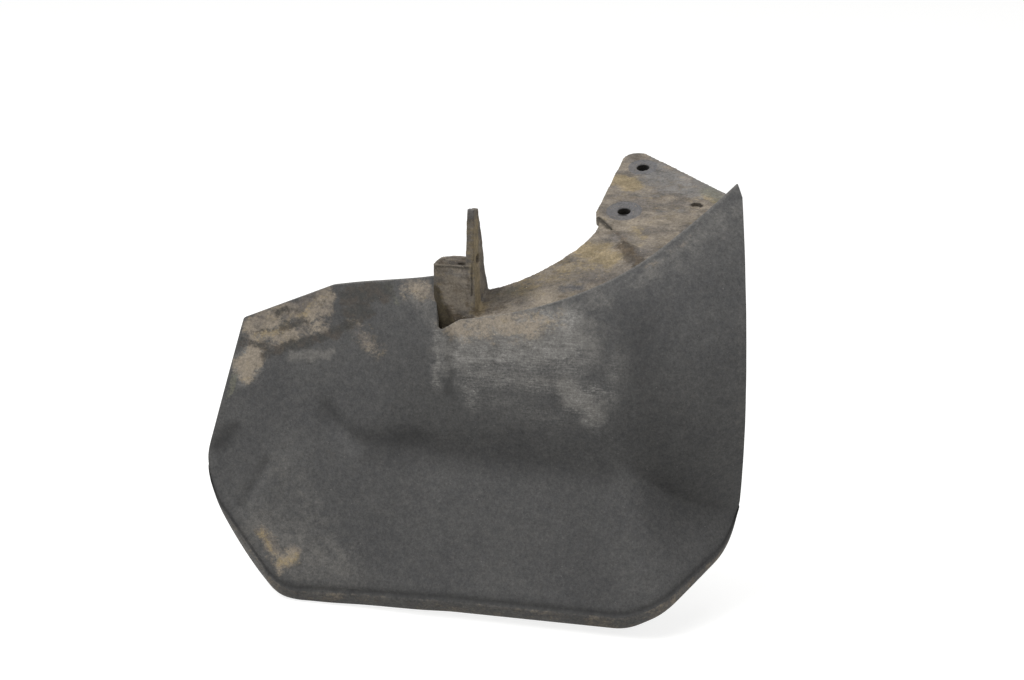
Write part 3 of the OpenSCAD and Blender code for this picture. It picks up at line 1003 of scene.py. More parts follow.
    def shell(self) -> tuple[np.ndarray, list[tuple[int, ...]], np.ndarray, np.ndarray, np.ndarray]:
        """Close the two surfaces with a rounded edge.

        Returns:
            Points, faces, places (s, z), a side (1 outside, 0 inside) and an edge value per point.
        """
        outer, inner, s, z = self.surfaces()
        cols, rows = outer.shape[:2]
        index = np.arange(cols * rows).reshape(cols, rows)
        loop = np.concatenate([index[:, 0], index[-1, 1:], index[:-1, -1][::-1], index[0, 1:-1][::-1]])
        inward = index.copy()
        inward[:, 0], inward[:, -1] = index[:, 1], index[:, -2]
        inward[0, :], inward[-1, :] = inward[1, :], inward[-2, :]
        near = inward.ravel()[loop]
        out, inn = outer.reshape(-1, 3).copy(), inner.reshape(-1, 3).copy()
        across = unit(out[loop] - inn[loop])
        along = np.roll(out[loop], -1, axis=0) - np.roll(out[loop], 1, axis=0)
        away = unit(np.cross(along, across))
        reach = np.einsum("ij,ij->i", out[loop] - out[near], away)
        if np.median(reach) < 0:
            away, reach = -away, -reach
        r = np.clip(0.6 * reach, 0.05, self.edge_r)
        for _ in range(4):
            r = np.minimum(r, (np.roll(r, 1) + r + np.roll(r, -1)) / 3)
        a, b = out[loop], inn[loop]
        out[loop] = a - away * r[:, None]
        inn[loop] = b - away * r[:, None]
        rings = []
        for base, side in ((a, -across), (b, across)):
            centre = base - away * r[:, None] + side * r[:, None]
            arcs = [centre + r[:, None] * (math.cos(t) * -side + math.sin(t) * away)
                    for t in (math.radians(turn) for turn in self.edge_turns)]
            rings.extend(arcs if base is a else arcs[::-1])
        count, size, half = len(out), len(loop), len(self.edge_turns)
        points = np.concatenate([out, inn, *rings])
        faces = []
        for i in range(cols - 1):
            for j in range(rows - 1):
                quad = (index[i, j], index[i + 1, j], index[i + 1, j + 1], index[i, j + 1])
                faces.append(tuple(int(q) for q in quad))
                faces.append(tuple(int(q) + count for q in reversed(quad)))
        ladder = [2 * count + k * size + np.arange(size) for k in range(2 * half)]
        ladder = [loop, *ladder, loop + count]
        for low, high in zip(ladder, ladder[1:]):
            for k in range(size):
                n = (k + 1) % size
                faces.append((int(low[k]), int(high[k]), int(high[n]), int(low[n])))
        place = np.stack([s.ravel(), z.ravel()], axis=-1)
        places = np.concatenate([place, place, *[place[loop]] * (2 * half)])
        side = np.concatenate([np.ones(count), np.zeros(count), np.repeat((1.0, 0.0), half * size)])
        edge = np.concatenate([np.zeros(2 * count), np.ones(2 * half * size)])
        edge[loop] = 1.0
        return points, faces, places, side, edge

    def dirt(self, places: np.ndarray, side: np.ndarray, edge: np.ndarray) -> dict[Dirt, np.ndarray]:
        """Return the dirt and painted shade on each point of the shell.

        Args:
            places: Places s, z of the points.
            side: 1 for points outside, 0 inside.
            edge: 1 for points on the rounded edge.

        Returns:
            One cover for each point, by kind.
        """
        shift = np.stack([wander(places, self.dirt_size, k, 5) for k in (1.0, 7.0)], axis=-1)
        layers = lay_dirt(dirt_and_shade_of_panel(), places + self.dirt_drift * shift)
        _, bottom = self.line.heights(places[:, 0])
        over = places[:, 1] - bottom
        rim = ease(-over / 2.0)
        chamfer = ease((places[:, 0] - 4) / 16)
        add_cover(layers, Dirt.MUD, (self.rim_mud + self.chamfer_mud * chamfer) * rim)
        add_cover(layers, Dirt.DUST, self.rim_dust * rim)
        # Painted shade in the groove along the rim's fold.
        groove = np.exp(-((over - 0.8) / 1.5) ** 2) + 0.35 * np.exp(-((over - 3.0) / 4.5) ** 2)
        add_cover(layers, Dirt.SHADE, self.groove_shade * groove)
        add_cover(layers, Dirt.EDGE, self.edge_wear * edge)
        spatter = self.back_mud + 0.5 * wander(places, 34.0, 11.0)
        for kind, hidden in ((Dirt.MUD, spatter), (Dirt.DUST, self.back_dust)):
            layers[kind] = np.where(side > 0.5, layers[kind], hidden)
        for kind in (Dirt.SCUFF, Dirt.STAIN):
            layers[kind] = np.where(side > 0.5, layers[kind], 0.0)
        return layers

    def build(self) -> bpy.types.Object:
        """Return the finished panel.

        Returns:
            The panel's object.
        """
        points, faces, places, side, edge = self.shell()
        mesh = make_mesh("splash_panel", points, faces)
        store_dirt(mesh, self.dirt(places, side, edge))
        mesh.shade_smooth()
        mesh.materials.append(self.finish)
        return add_object("splash_panel", mesh)


def circle(x: float, y: float, r: float, steps: int = 40) -> np.ndarray:
    """Return the points of a circle."""
    turn = np.linspace(0, 2 * math.pi, steps, endpoint=False)
    return np.stack([x + r * np.cos(turn), y + r * np.sin(turn)], axis=-1)


@dataclass
class Solid:
    """A growing list of closed shells, which are merged into one skin later."""

    points: list[np.ndarray]
    faces: list[tuple[int, ...]]

    def add(self, points: np.ndarray, faces: list[tuple[int, ...]]) -> None:
        """Add one closed shell.

        Args:
            points: Its points, in millimetres.
            faces: Its faces as tuples of point numbers.
        """
        base = sum(len(p) for p in self.points)
        self.points.append(np.asarray(points, float))
        self.faces.extend(tuple(int(k) + base for k in face) for face in faces)

    def prism(self, loops: list[np.ndarray], low: float, high: float, frame_of: Matrix) -> None:
        """Add a prism with holes.

        Args:
            loops: The outline and then its holes, as points in the prism's own plane.
            low: Height of its lower face.
            high: Height of its upper face.
            frame_of: Placing of the prism's own axes, in millimetres.
        """
        flat = np.concatenate(loops)
        area = geometry.tessellate_polygon([[Vector((p[0], p[1], 0)) for p in loop] for loop in loops])
        n = len(flat)
        faces = [tuple(t) for t in area] + [tuple(k + n for k in reversed(t)) for t in area]
        start = 0
        for loop in loops:
            m = len(loop)
            for k in range(m):
                a, b = start + k, start + (k + 1) % m
                faces.append((a, b, b + n, a + n))
            start += m
        local = np.concatenate([np.column_stack([flat, np.full(n, h)]) for h in (low, high)])
        turn = np.array(frame_of.to_3x3())
        self.add(local @ turn.T + np.array(frame_of.translation), faces)

    def tube(self, rings: np.ndarray) -> None:
        """Add a closed tube through rings of points, with a flat end on each.

        Args:
            rings: Rings of points, with as many points in each.
        """
        n, k = rings.shape[:2]
        faces = [tuple(range(k)), tuple((n - 1) * k + j for j in reversed(range(k)))]
        for i in range(n - 1):
            for j in range(k):
                a, b = i * k + j, i * k + (j + 1) % k
                faces.append((a, a + k, b + k, b))
        self.add(rings.reshape(-1, 3), faces)

    def skin(self, name: str, voxel: float, smooth: int) -> bpy.types.Object:
        """Merge the shells into one skin.

        Args:
            name: Name of the piece.
            voxel: Size of the skin's faces, in millimetres.
            smooth: Rounds of smoothing.

        Returns:
            The new object, with plain mesh.
        """
        piece = add_object(name, make_mesh(name, np.concatenate(self.points), self.faces))
        merge = piece.modifiers.new("merge", "REMESH")
        merge.mode = "VOXEL"
        merge.voxel_size = voxel * MM
        merge.adaptivity = 0.0
        ease_off = piece.modifiers.new("smooth", "SMOOTH")
        ease_off.factor = 0.5
        ease_off.iterations = smooth
        return applied(piece)


def dirt_and_shade_of_shelf() -> list[Patch]:
    """Return the patches of dirt and painted shade on the shelf, the fixing plate, the boss and the fin, in
    space.

    Returns:
        The patches, as lay_dirt takes them.
    """
    return [
        Patch(Dirt.YELLOW, (-11, 34, 11), (-1, 27, 9), 6, 8, 0.95),
        Patch(Dirt.YELLOW, (9, 18, 6), (13, 15, 5), 2, 7, 0.5),
        Patch(Dirt.YELLOW, (12, -18, -6), (18, -26, -8), 3, 9, 0.45),
        Patch(Dirt.YELLOW, (45, 22, 7), (51, 17, 5), 3, 9, 0.55),
        Patch(Dirt.YELLOW, (2, -42, -20), (-16, -31, -21), 8, 14, 0.9),
        Patch(Dirt.YELLOW, (-48, -48, -37), (-16, -42, -26), 8, 22, 0.38),
        Patch(Dirt.YELLOW, (-12, -15, -8), (-15, -20, -12), 2, 9, 0.5),
        Patch(Dirt.GREEN, (46, 27, 9), (54, 20, 6), 5, 10, 0.9),
        Patch(Dirt.GREEN, (-62, -52, -45), (-50, -48, -42), 4, 14, 0.5),
        Patch(Dirt.DUST, (14, 36, 12), (44, 30, 10), 14, 18, 1.0),
        Patch(Dirt.DUST, (4, 62, 20), (12, 48, 16), 4, 10, 1.0),
        Patch(Dirt.DUST, (-4, 16, 5), (36, 21, 7), 1.5, 6, 0.9),
        Patch(Dirt.DUST, (22, 2, 1), (34, 4, 1), 3, 8, 0.7),
        Patch(Dirt.DUST, (-40, -52, -38), (-30, -47, -33), 4, 16, 0.5),
        Patch(Dirt.STAIN, (-4, -16, -6), (9, -33, -12), 1.8, 6, 0.75),
        Patch(Dirt.STAIN, (8, -34, -12), (21, -51, -17), 3.6, 8, 1.0),
        Patch(Dirt.CLEAN, (-12, -58, -32), (-22, -56, -35), 3, 9, 0.75),
        Patch(Dirt.SHADE, (-12, -58, -32), (-22, -56, -35), 3, 10, 0.3),
        Patch(Dirt.STAIN, (-72, -66, -50), (-58, -62, -47), 3, 12, 0.7),
        Patch(Dirt.STAIN, (-98, -66, -60), (-86, -66, -60), 4, 12, 0.7),
        # Painted shade in the crack where the plate steps over the shelf, on the near wall of the lower hole
        # and along the crease between shelf and plate.
        Patch(Dirt.SHADE, (-13.4, -9.3, -2.9), (-2.9, -20.4, -6.6), 1.1, 1.6, 1.0),
        Patch(Dirt.SHADE, (-13.0, -10.6, -3.2), (-5.0, -19.2, -6.0), 1.7, 2.0, 0.85),
        Patch(Dirt.SHADE, (-2.0, -4.4, -1.4), (2.0, -4.4, -1.4), 0.8, 1.4, 0.95),
        Patch(Dirt.SHADE, (-2.4, -20.4, -6.5), (20, -48, -16), 0.8, 2.4, 0.3),
        # Painted shade on the far wall of the outer hole, as a crescent.
        Patch(Dirt.SHADE, (38.6, 11.3, 3.6), (40.2, 12.8, 4.1), 0.7, 1.2, 0.9),
        Patch(Dirt.SHADE, (40.2, 12.8, 4.1), (43.8, 12.8, 4.1), 0.8, 1.2, 0.95),
        Patch(Dirt.SHADE, (43.8, 12.8, 4.1), (45.4, 11.3, 3.6), 0.7, 1.2, 0.9),
        # The shelf darker beside the fin and along its length.
        Patch(Dirt.SHADE, (-61, -55, -44), (-46, -53, -41), 9, 18, 0.58),
        Patch(Dirt.SHADE, (-64, -60, -53), (-52, -62, -50), 4, 8, 0.5),
        Patch(Dirt.STAIN, (-70, -58, -54), (-52, -58, -47), 2, 8, 0.7),
        Patch(Dirt.SHADE, (-70, -50, -57), (-70, -44, -52), 3, 7, 0.6),
        Patch(Dirt.SHADE, (-46, -54, -38), (-14, -48, -28), 6, 26, 0.28),
        # Painted shade on the notch's floor, in the gap between the step and the boss.
        Patch(Dirt.SHADE, (-104, -66, -62), (-102, -66, -48), 5, 8, 0.7),
        Patch(Dirt.SHADE, (-103, -66, -64), (-86, -66, -64), 3, 8, 0.55),
        # Painted shadow on the boss's lower left, cast by the notch's wall, tinted olive.
        Patch(Dirt.YELLOW, (-104, -68.6, -46), (-94, -68.6, -67), 12, 4, 0.7),
        Patch(Dirt.SHADE, (-104, -68.6, -45), (-93, -68.6, -67), 12, 5, 0.88),
        Patch(Dirt.STAIN, (-88, -68.6, -50), (-79, -68.6, -58), 3, 8, 0.75),
        Patch(Dirt.SHADE, (-79.5, -67, -22.6), (-76.5, -61, -22.6), 2.0, 2.6, 0.9),
        # Painted shade along the boss's foot and in the inner corner between the boss and the fin.
        Patch(Dirt.SHADE, (-90, -68.6, -62), (-80, -68.6, -62), 2, 6, 0.4),
        Patch(Dirt.SHADE, (-74.6, -68.6, -20), (-75.0, -68.6, -40), 0.7, 1.5, 0.9),
        # The boss darker along its front top edge, over its top and down its front.
        Patch(Dirt.SHADE, (-97, -68.6, -23.2), (-77, -68.6, -23.2), 1.0, 2.4, 0.85),
        Patch(Dirt.STAIN, (-94, -61, -23), (-82, -54, -23), 7, 8, 0.7),
        Patch(Dirt.SHADE, (-94, -62, -22.5), (-82, -50, -22.5), 10, 5, 0.45),
        Patch(Dirt.SHADE, (-97, -68.6, -30), (-80, -68.6, -46), 10, 8, 0.3),
        Patch(Dirt.EDGE, (-90, -68.6, -27.5), (-83, -68.6, -28), 1.4, 3.5, 1.0),
        Patch(Dirt.STAIN, (-78, -68.6, -30), (-77, -68.6, -46), 1.0, 5, 0.7),
        # Tan mud on the fin's outer face, laid strong so that this face reads lighter: partly real mud,
        # partly painted light.
        Patch(Dirt.YELLOW, (-73.1, -61, -60), (-73.6, -63, 2), 5.5, 6, 0.8),
        Patch(Dirt.SCUFF, (-73.1, -60, -60), (-73.6, -62, 0), 5.0, 6, 1.0),
        Patch(Dirt.MUD, (-73.1, -61, -60), (-73.6, -63, 2), 7.0, 5, 1.0),
        # Painted shade on the far part of the fin's outer face.
        Patch(Dirt.SHADE, (-73.6, -38, -60), (-73.6, -42, -28), 4, 6, 0.5),
        # Painted shade down the screw hole in the boss's top.
        Patch(Dirt.SHADE, (-83.8, -57.1, -23), (-83.8, -57.1, -36), 2.6, 2.0, 0.9),
        Patch(Dirt.SHADE, (-73.1, -66.2, -16), (-73.1, -66.0, -30), 0.5, 1.5, 0.9),
        Patch(Dirt.SHADE, (-73.3, -64.2, -2), (-73.2, -63.6, -18), 0.3, 1.4, 0.55),
        Patch(Dirt.SHADE, (-73.1, -59.6, -10), (-73.1, -59.0, -30), 0.3, 1.4, 0.5),
        Patch(Dirt.SHADE, (-73.1, -62.0, -28), (-73.1, -61.6, -50), 0.3, 1.4, 0.45),
        Patch(Dirt.CLEAN, (-76, -68.2, 13), (-76, -68.2, 6), 2.0, 5, 0.8),
        Patch(Dirt.CLEAN, (-78.6, -68.4, 4), (-79.2, -68.4, -14), 0.4, 3, 0.6),
        Patch(Dirt.YELLOW, (-96, -68.6, -33), (-93, -68.6, -41), 1.0, 6, 0.5),
        Patch(Dirt.SCUFF, (-88, -68.6, -34), (-80, -68.6, -40), 4, 8, 0.6),
        Patch(Dirt.SHADE, (-79.2, -66, 13.6), (-73.5, -60, 14.2), 0.5, 1.6, 0.5),
    ]


@dataclass
class ArchShelf:
    """The shelf along the wheel arch, with the fixing plate, the boss and the fin, as one skin."""

    form: PanelForm
    line: PanelOutline
    finish: bpy.types.Material
    shelf_t: float = 4.0
    lip: float = 2.0
    shelf_w: float = 31.0
    shelf_rise: float = 18.3
    plate_tilt: float = 18.0
    hole_d: float = 7.8
    plate_margin: float = 16.5
    plate_reach: float = 77.0
    plate_edge_turn: float = 35.0
    plate_r: float = 9.0
    plate_foot: float = 12.0
    collar_d: float = 15.0
    collar_l: float = 5.0
    boss_w: float = 20.5
    boss_l: float = 23.0
    boss_h: float = 38.6
    boss_wall: float = 2.6
    boss_r: float = 8.0
    fin_t: float = 4.0
    fin_h: float = 73.0
    seam_start: float = 12.0
    skin_depth: float = 0.9
    voxel: float = 0.65
    smoothing: int = 3
    holes: tuple[Point, ...] = ((0.0, 0.0), (0.0, 52.0), (42.0, 10.0))
    overlap: float = 1.0
    plate_top_inset: float = 2.5
    plate_end_inset: float = 2.5
    plate_end_foot: float = 18.0
    ring_r: Point = (11.4, 9.6)
    ring_fade: float = 1.2
    ring_reach: float = 1.2
    plug_shift: float = 2.4
    plug_drop: float = 0.5
    shelf_foot: float = 3.4
    shelf_lead: float = 8.0
    shelf_end: float = 0.985
    shelf_end_w: float = 1.5
    notch_back: float = 9.0
    notch_pull: Point = (30.0, -10.5, 7.9)
    plate_pull: Point = (11.0, -18.0, -4.0)
    fin_gap: float = 3.0
    fin_back: float = 5.0
    fin_top: float = 11.0
    fin_edge: tuple[Point, ...] = ((19.0, 49.6), (29.5, 16.0), (29.5, 2.0))
    fin_hole: Point = (9.0, 41.0, 3.5)
    fin_leans: Point = (-0.028, 0.036)
    boss_shift: float = 1.0
    boss_back: float = 4.6
    boss_root: float = 6.0
    recess_depth: float = 2.0
    mud_drop: float = 1.3
    pilot_depth: float = 11.0
    pilot_r: float = 2.75
    dirt_size: float = 7.0
    dirt_drift: float = 1.6
    sharp_fade: float = 3.0
    sharp_drift: float = 0.4
    crust: float = 0.28
    crust_lumps: float = 0.26
    side_lumps: float = 0.14
    mud_cover: float = 0.95
    mud_less_under: float = 0.35
    mud_less_dusty: float = 0.75
    mottle: float = 0.30

    @property
    def slope(self) -> float:
        """Return the plate's slope in radians."""
        return math.radians(self.plate_tilt)

    @property
    def through(self) -> np.ndarray:
        """Return the direction down through the plate."""
        return np.array([0.0, math.sin(self.slope), -math.cos(self.slope)])

    def on_plate(self, u: float, v: float) -> np.ndarray:
        """Return a point of the plate's upper face."""
        return np.array([u, v * math.cos(self.slope), v * math.sin(self.slope)])

    def seam(self, s: float) -> np.ndarray:
        """Return the point where the plate's upper face meets the panel's wall at s.

        Args:
            s: Place across.

        Returns:
            The point, in millimetres.
        """
        low, high = -self.form.bulge_drop, self.line.tip_height
        for _ in range(24):
            mid = (low + high) / 2
            p = self.form.inside(s, mid, self.skin_depth)
            if p[2] - p[1] * math.tan(self.slope) > 0:
                high = mid
            else:
                low = mid
        return self.form.inside(s, mid, self.skin_depth)

    def plate_outline(self) -> np.ndarray:
        """Return the fixing plate's outline in its own plane.

        Returns:
            The outline's points, across and up the slope.
        """
        turn = math.radians(self.plate_edge_turn)
        edge = np.array([math.cos(turn), -math.sin(turn)])
        top = np.array([self.plate_top_inset - self.plate_margin, self.plate_reach])
        end = self.line.outer_reach - self.plate_end_inset
        across = np.array([1.0, self.form.shear * math.cos(self.slope)])
        corner = top + edge * (end - top @ across) / (edge @ across)
        free = rounded([
            (2 - self.plate_margin, -self.plate_foot, 0),
            (-self.plate_margin, 3 - self.plate_foot / 2, 8),
            (top[0], top[1], self.plate_r),
            (corner[0], corner[1], 1.5),
            (end - 2, -self.plate_end_foot, 0),
        ])[:-1]
        seam = [self.seam(s) for s in np.linspace(end, self.seam_start, 18)]
        return np.concatenate([free, [[p[0], p[1] / math.cos(self.slope)] for p in seam]])

    def add_plate(self, solid: Solid) -> None:
        """Add the fixing plate with its collars, and the mud that fills the outer hole.

        Args:
            solid: The solid that takes it.
        """
        place = Matrix.Rotation(self.slope, 4, "X")
        r = self.hole_d / 2
        bores = [circle(u, v, r) for u, v in self.holes]
        solid.prism([self.plate_outline(), *bores], -self.shelf_t, 0.0, place)
        for (u, v), bore in zip(self.holes, bores):
            collar = [circle(u, v, self.collar_d / 2), bore]
            solid.prism(collar, -self.shelf_t - self.collar_l, -self.shelf_t / 2, place)
        u, v = self.holes[2]
        solid.prism([circle(u, v - self.plug_shift, r + 0.1)], -self.shelf_t, -self.plug_drop, place)

    def rear_edge(self) -> np.ndarray:
        """Return the four points that draw the shelf's curved free edge.

        Returns:
            The four points, from the notch to the plate.
        """
        fin_x, front = self.corner_of_fin()
        start = np.array([fin_x + self.fin_t, front + self.shelf_w, self.line.floor + self.shelf_rise])
        crease = self.on_plate(self.shelf_foot - self.plate_margin, -self.plate_foot)
        return np.array([start, start + self.notch_pull, crease + self.plate_pull, crease])

    @property
    def notch(self) -> float:
        """Return the place across of the notch's step."""
        return -self.line.step_reach

    def add_shelf(self, solid: Solid) -> None:
        """Add the shelf from the notch to the plate.

        Args:
            solid: The solid that takes it.
        """
        pull = self.rear_edge()
        down = self.through * self.shelf_t
        rings = []

        def station(s: float, z: float, rear: np.ndarray) -> None:
            """Add one cross-section.

            Args:
                s: Place across of its front.
                z: Height of its front.
                rear: Its upper point at the rear.
            """
            front = self.form.inside(s, z, self.skin_depth)
            under = self.form.inside(s, z - self.shelf_t, self.skin_depth)
            rings.append([front, rear, rear + down, under])

        line = self.line
        for s in (self.notch + 1, self.notch + line.notch_w / 2, self.notch + line.notch_w):
            back = pull[0] + [s - self.notch - line.notch_w - self.notch_back, 0, -self.lip]
            station(s, line.floor - self.lip, back)
        lead = self.notch + line.notch_w + self.shelf_lead
        for t in np.linspace(0, self.shelf_end, 30):
            s = lead + (self.seam_start - lead) * t
            rear = ((1 - t) ** 3 * pull[0] + 3 * t * (1 - t) ** 2 * pull[1]
                    + 3 * t * t * (1 - t) * pull[2] + t ** 3 * pull[3])
            station(s, line.top(s) - self.lip, rear)
        front = self.seam(self.seam_start)
        rear = pull[3]
        aside = unit(np.cross(self.through, rear - front)) * self.shelf_end_w
        rings.append([front + aside, rear + aside, rear + aside + down, front + aside + down])
        solid.tube(np.array(rings))

    def corner_of_fin(self) -> tuple[float, float]:
        """Return the X of the fin's inner face and the Y of the notch's front."""
        front = self.form.inside(self.notch + self.line.notch_w, self.line.floor, self.skin_depth)
        return float(front[0]) + self.fin_gap, float(front[1])

    def add_boss(self, solid: Solid) -> None:
        """Add the boss, with mud in the recess of its top and an open screw hole.

        Args:
            solid: The solid that takes it.
        """
        fin_x, front = self.corner_of_fin()
        x, y = fin_x - self.boss_w / 2 - self.boss_shift, front + self.boss_back
        low, high = -self.boss_w / 2, self.boss_w / 2 + self.fin_t
        body = rounded([
            (low, 0, self.boss_r / 2),
            (low, self.boss_l, self.boss_r),
            (high, self.boss_l, 0),
            (high, 0, 0),
        ])
        low, high = low + self.boss_wall, self.boss_w / 2 - 0.5
        well = rounded([
            (low, self.boss_wall, (self.boss_r - self.boss_wall) / 2),
            (low, self.boss_l - self.boss_wall, self.boss_r - self.boss_wall),
            (high, self.boss_l - self.boss_wall, 0.5),
            (high, self.boss_wall, 0.5),
        ])
        pilot = circle(self.boss_w / 4, self.boss_l / 2, self.pilot_r, 24)
        place = Matrix.Translation((x, y, self.line.floor))
        top = self.boss_h
        solid.prism([body], -self.boss_root, top - self.pilot_depth, place)
        solid.prism([body, pilot], top - self.pilot_depth - self.overlap, top - self.mud_drop, place)
        solid.prism([body, well], top - self.recess_depth, top, place)

    def add_fin(self, solid: Solid) -> None:
        """Add the upright fin, with its worn edge and its hole.

        Args:
            solid: The solid that takes it.
        """
        fin_x, front = self.corner_of_fin()
        rear, floor = front + self.fin_back, self.line.floor
        edge = np.array([(self.fin_top, self.fin_h), *self.fin_edge])
        steps = np.linspace(0, 3, 46)
        free = np.stack([np.interp(steps, range(4), edge[:, k]) for k in (0, 1)], axis=-1)
        ragged = wander(free, 5.0, 2.5, 4)
        free[:, 0] += np.where(free[:, 1] > 12, 0.9 * ragged - 0.5, 0.0)
        top = [[t, self.fin_h - 0.7 - 0.6 * math.sin(7.0 * t)] for t in np.linspace(0.6, 10.2, 11)]
        outline = np.concatenate([[[0.0, -2.0], [0.3, 40.0]], top, free[1:]])
        hole = circle(*self.fin_hole)
        axes = Matrix(((0, 0, 1, fin_x), (1, 0, 0, rear), (0, 1, 0, floor), (0, 0, 0, 1)))
        solid.prism([outline, hole], 0.0, self.fin_t, axes)
        for lean in self.fin_leans:
            axes.col[1][0] = lean
            axes.translation.x = fin_x - lean * self.fin_h
            solid.prism([outline, hole], 0.0, self.fin_t - self.overlap, axes)

    def roughen(self, mesh: bpy.types.Mesh) -> np.ndarray:
        """Raise dried mud on the faces that look up, but for the clean rings that washers left.

        Args:
            mesh: The skin's mesh, which is changed.

        Returns:
            The points in millimetres.
        """
        count = len(mesh.vertices)
        points, facing = np.empty(count * 3), np.empty(count * 3)
        mesh.vertices.foreach_get("co", points)
        mesh.vertices.foreach_get("normal", facing)
        points, facing = points.reshape(-1, 3) / MM, facing.reshape(-1, 3)
        lumps = wander(points, 7.0, 3.0, 5)
        up = ease((facing[:, 2] - 0.2) / 0.5)
        caked = up * (self.crust + self.crust_lumps * lumps) + (1 - up) * self.side_lumps * lumps
        caked *= 1.0 - self.rings(points)
        points = points + facing * caked[:, None]
        mesh.vertices.foreach_set("co", (points * MM).ravel())
        mesh.update()
        return points

    def off_plate(self, points: np.ndarray) -> tuple[np.ndarray, np.ndarray]:
        """Return each point's place up the plate's slope, and its height over the plate's upper face."""
        v = points[:, 1] * math.cos(self.slope) + points[:, 2] * math.sin(self.slope)
        return v, points[:, 2] * math.cos(self.slope) - points[:, 1] * math.sin(self.slope)

    def rings(self, points: np.ndarray) -> np.ndarray:
        """Return 1 on the clean rings around the two open holes, 0 elsewhere.

        Args:
            points: Points, in millimetres.

        Returns:
            One value for each point.
        """
        v, above = self.off_plate(points)
        clean = np.zeros(len(points))
        for (u0, v0), r in zip(self.holes[:2], self.ring_r):
            far = np.hypot(points[:, 0] - u0, v - v0)
            clean = np.maximum(clean, ease((r - far) / self.ring_fade) * (np.abs(above) < self.ring_reach))
        return clean

    def bores(self, points: np.ndarray) -> np.ndarray:
        """Return the painted shade inside the two open fixing holes: 1 inside, 0 elsewhere.

        Args:
            points: Points, in millimetres.

        Returns:
            One value for each point.
        """
        v, above = self.off_plate(points)
        dark = np.zeros(len(points))
        for u0, v0 in self.holes[:2]:
            far = np.hypot(points[:, 0] - u0, v - v0)
            dark = np.maximum(dark, (far < self.hole_d / 2 + 0.7) * ease((-0.2 - above) / 0.8))
        return dark

    def dirt(self, points: np.ndarray, mesh: bpy.types.Mesh) -> dict[Dirt, np.ndarray]:
        """Return the dirt and painted shade on each point of the skin.

        Args:
            points: The skin's points, in millimetres.
            mesh: The skin's mesh.

        Returns:
            One cover for each point, by kind.
        """
        shift = np.stack([wander(points, self.dirt_size, k, 5) for k in (1.0, 5.0, 9.0)], axis=-1)
        # Painted shade along the seam under the panel's lip.
        seam = [self.form.inside(s, self.line.top(s) - self.lip, self.skin_depth)
                for s in np.linspace(self.notch + self.line.notch_w, self.seam_start, 12)]
        seam_shade_lines = [Patch(Dirt.SHADE, tuple(a), tuple(b), reach=0.8, fade=2.6, strength=0.5)
                  for a, b in zip(seam, seam[1:])]
        patches = dirt_and_shade_of_shelf()
        soft = [p for p in patches if p.fade >= self.sharp_fade]
        sharp = [p for p in patches if p.fade < self.sharp_fade] + seam_shade_lines
        layers = lay_dirt(soft, points + self.dirt_drift * shift)
        lines = lay_dirt(sharp, points + self.sharp_drift * shift)
        add_cover(layers, Dirt.SHADE, lines[Dirt.SHADE])
        # Painted shade inside the two open fixing holes.
        add_cover(layers, Dirt.SHADE, self.bores(points))
        facing = np.empty(len(points) * 3)
        mesh.vertices.foreach_get("normal", facing)
        up = facing.reshape(-1, 3)[:, 2]
        under = ease((0.1 - up) / 0.6)
        layers[Dirt.MUD] = self.mud_cover - self.mud_less_under * under + 0.2 * wander(points, 18.0, 6.0)
        layers[Dirt.MUD] *= 1.0 - self.mud_less_dusty * layers[Dirt.DUST]
        mottle = self.mottle * ease(0.5 + wander(points * [0.5, 1.0, 1.0], 6.0, 8.0, 4))
        add_cover(layers, Dirt.SHADE, mottle * (1 - self.rings(points)))
        add_cover(layers, Dirt.CLEAN, self.rings(points))
        return layers

    def build(self) -> bpy.types.Object:
        """Return the finished piece.

        Returns:
            The object of the merged skin.
        """
        solid = Solid([], [])
        self.add_plate(solid)
        self.add_shelf(solid)
        self.add_boss(solid)
        self.add_fin(solid)
        piece = solid.skin("arch_shelf", self.voxel, self.smoothing)
        points = self.roughen(piece.data)
        store_dirt(piece.data, self.dirt(points, piece.data))
        piece.data.shade_smooth()
        piece.data.materials.clear()
        piece.data.materials.append(self.finish)
        return piece


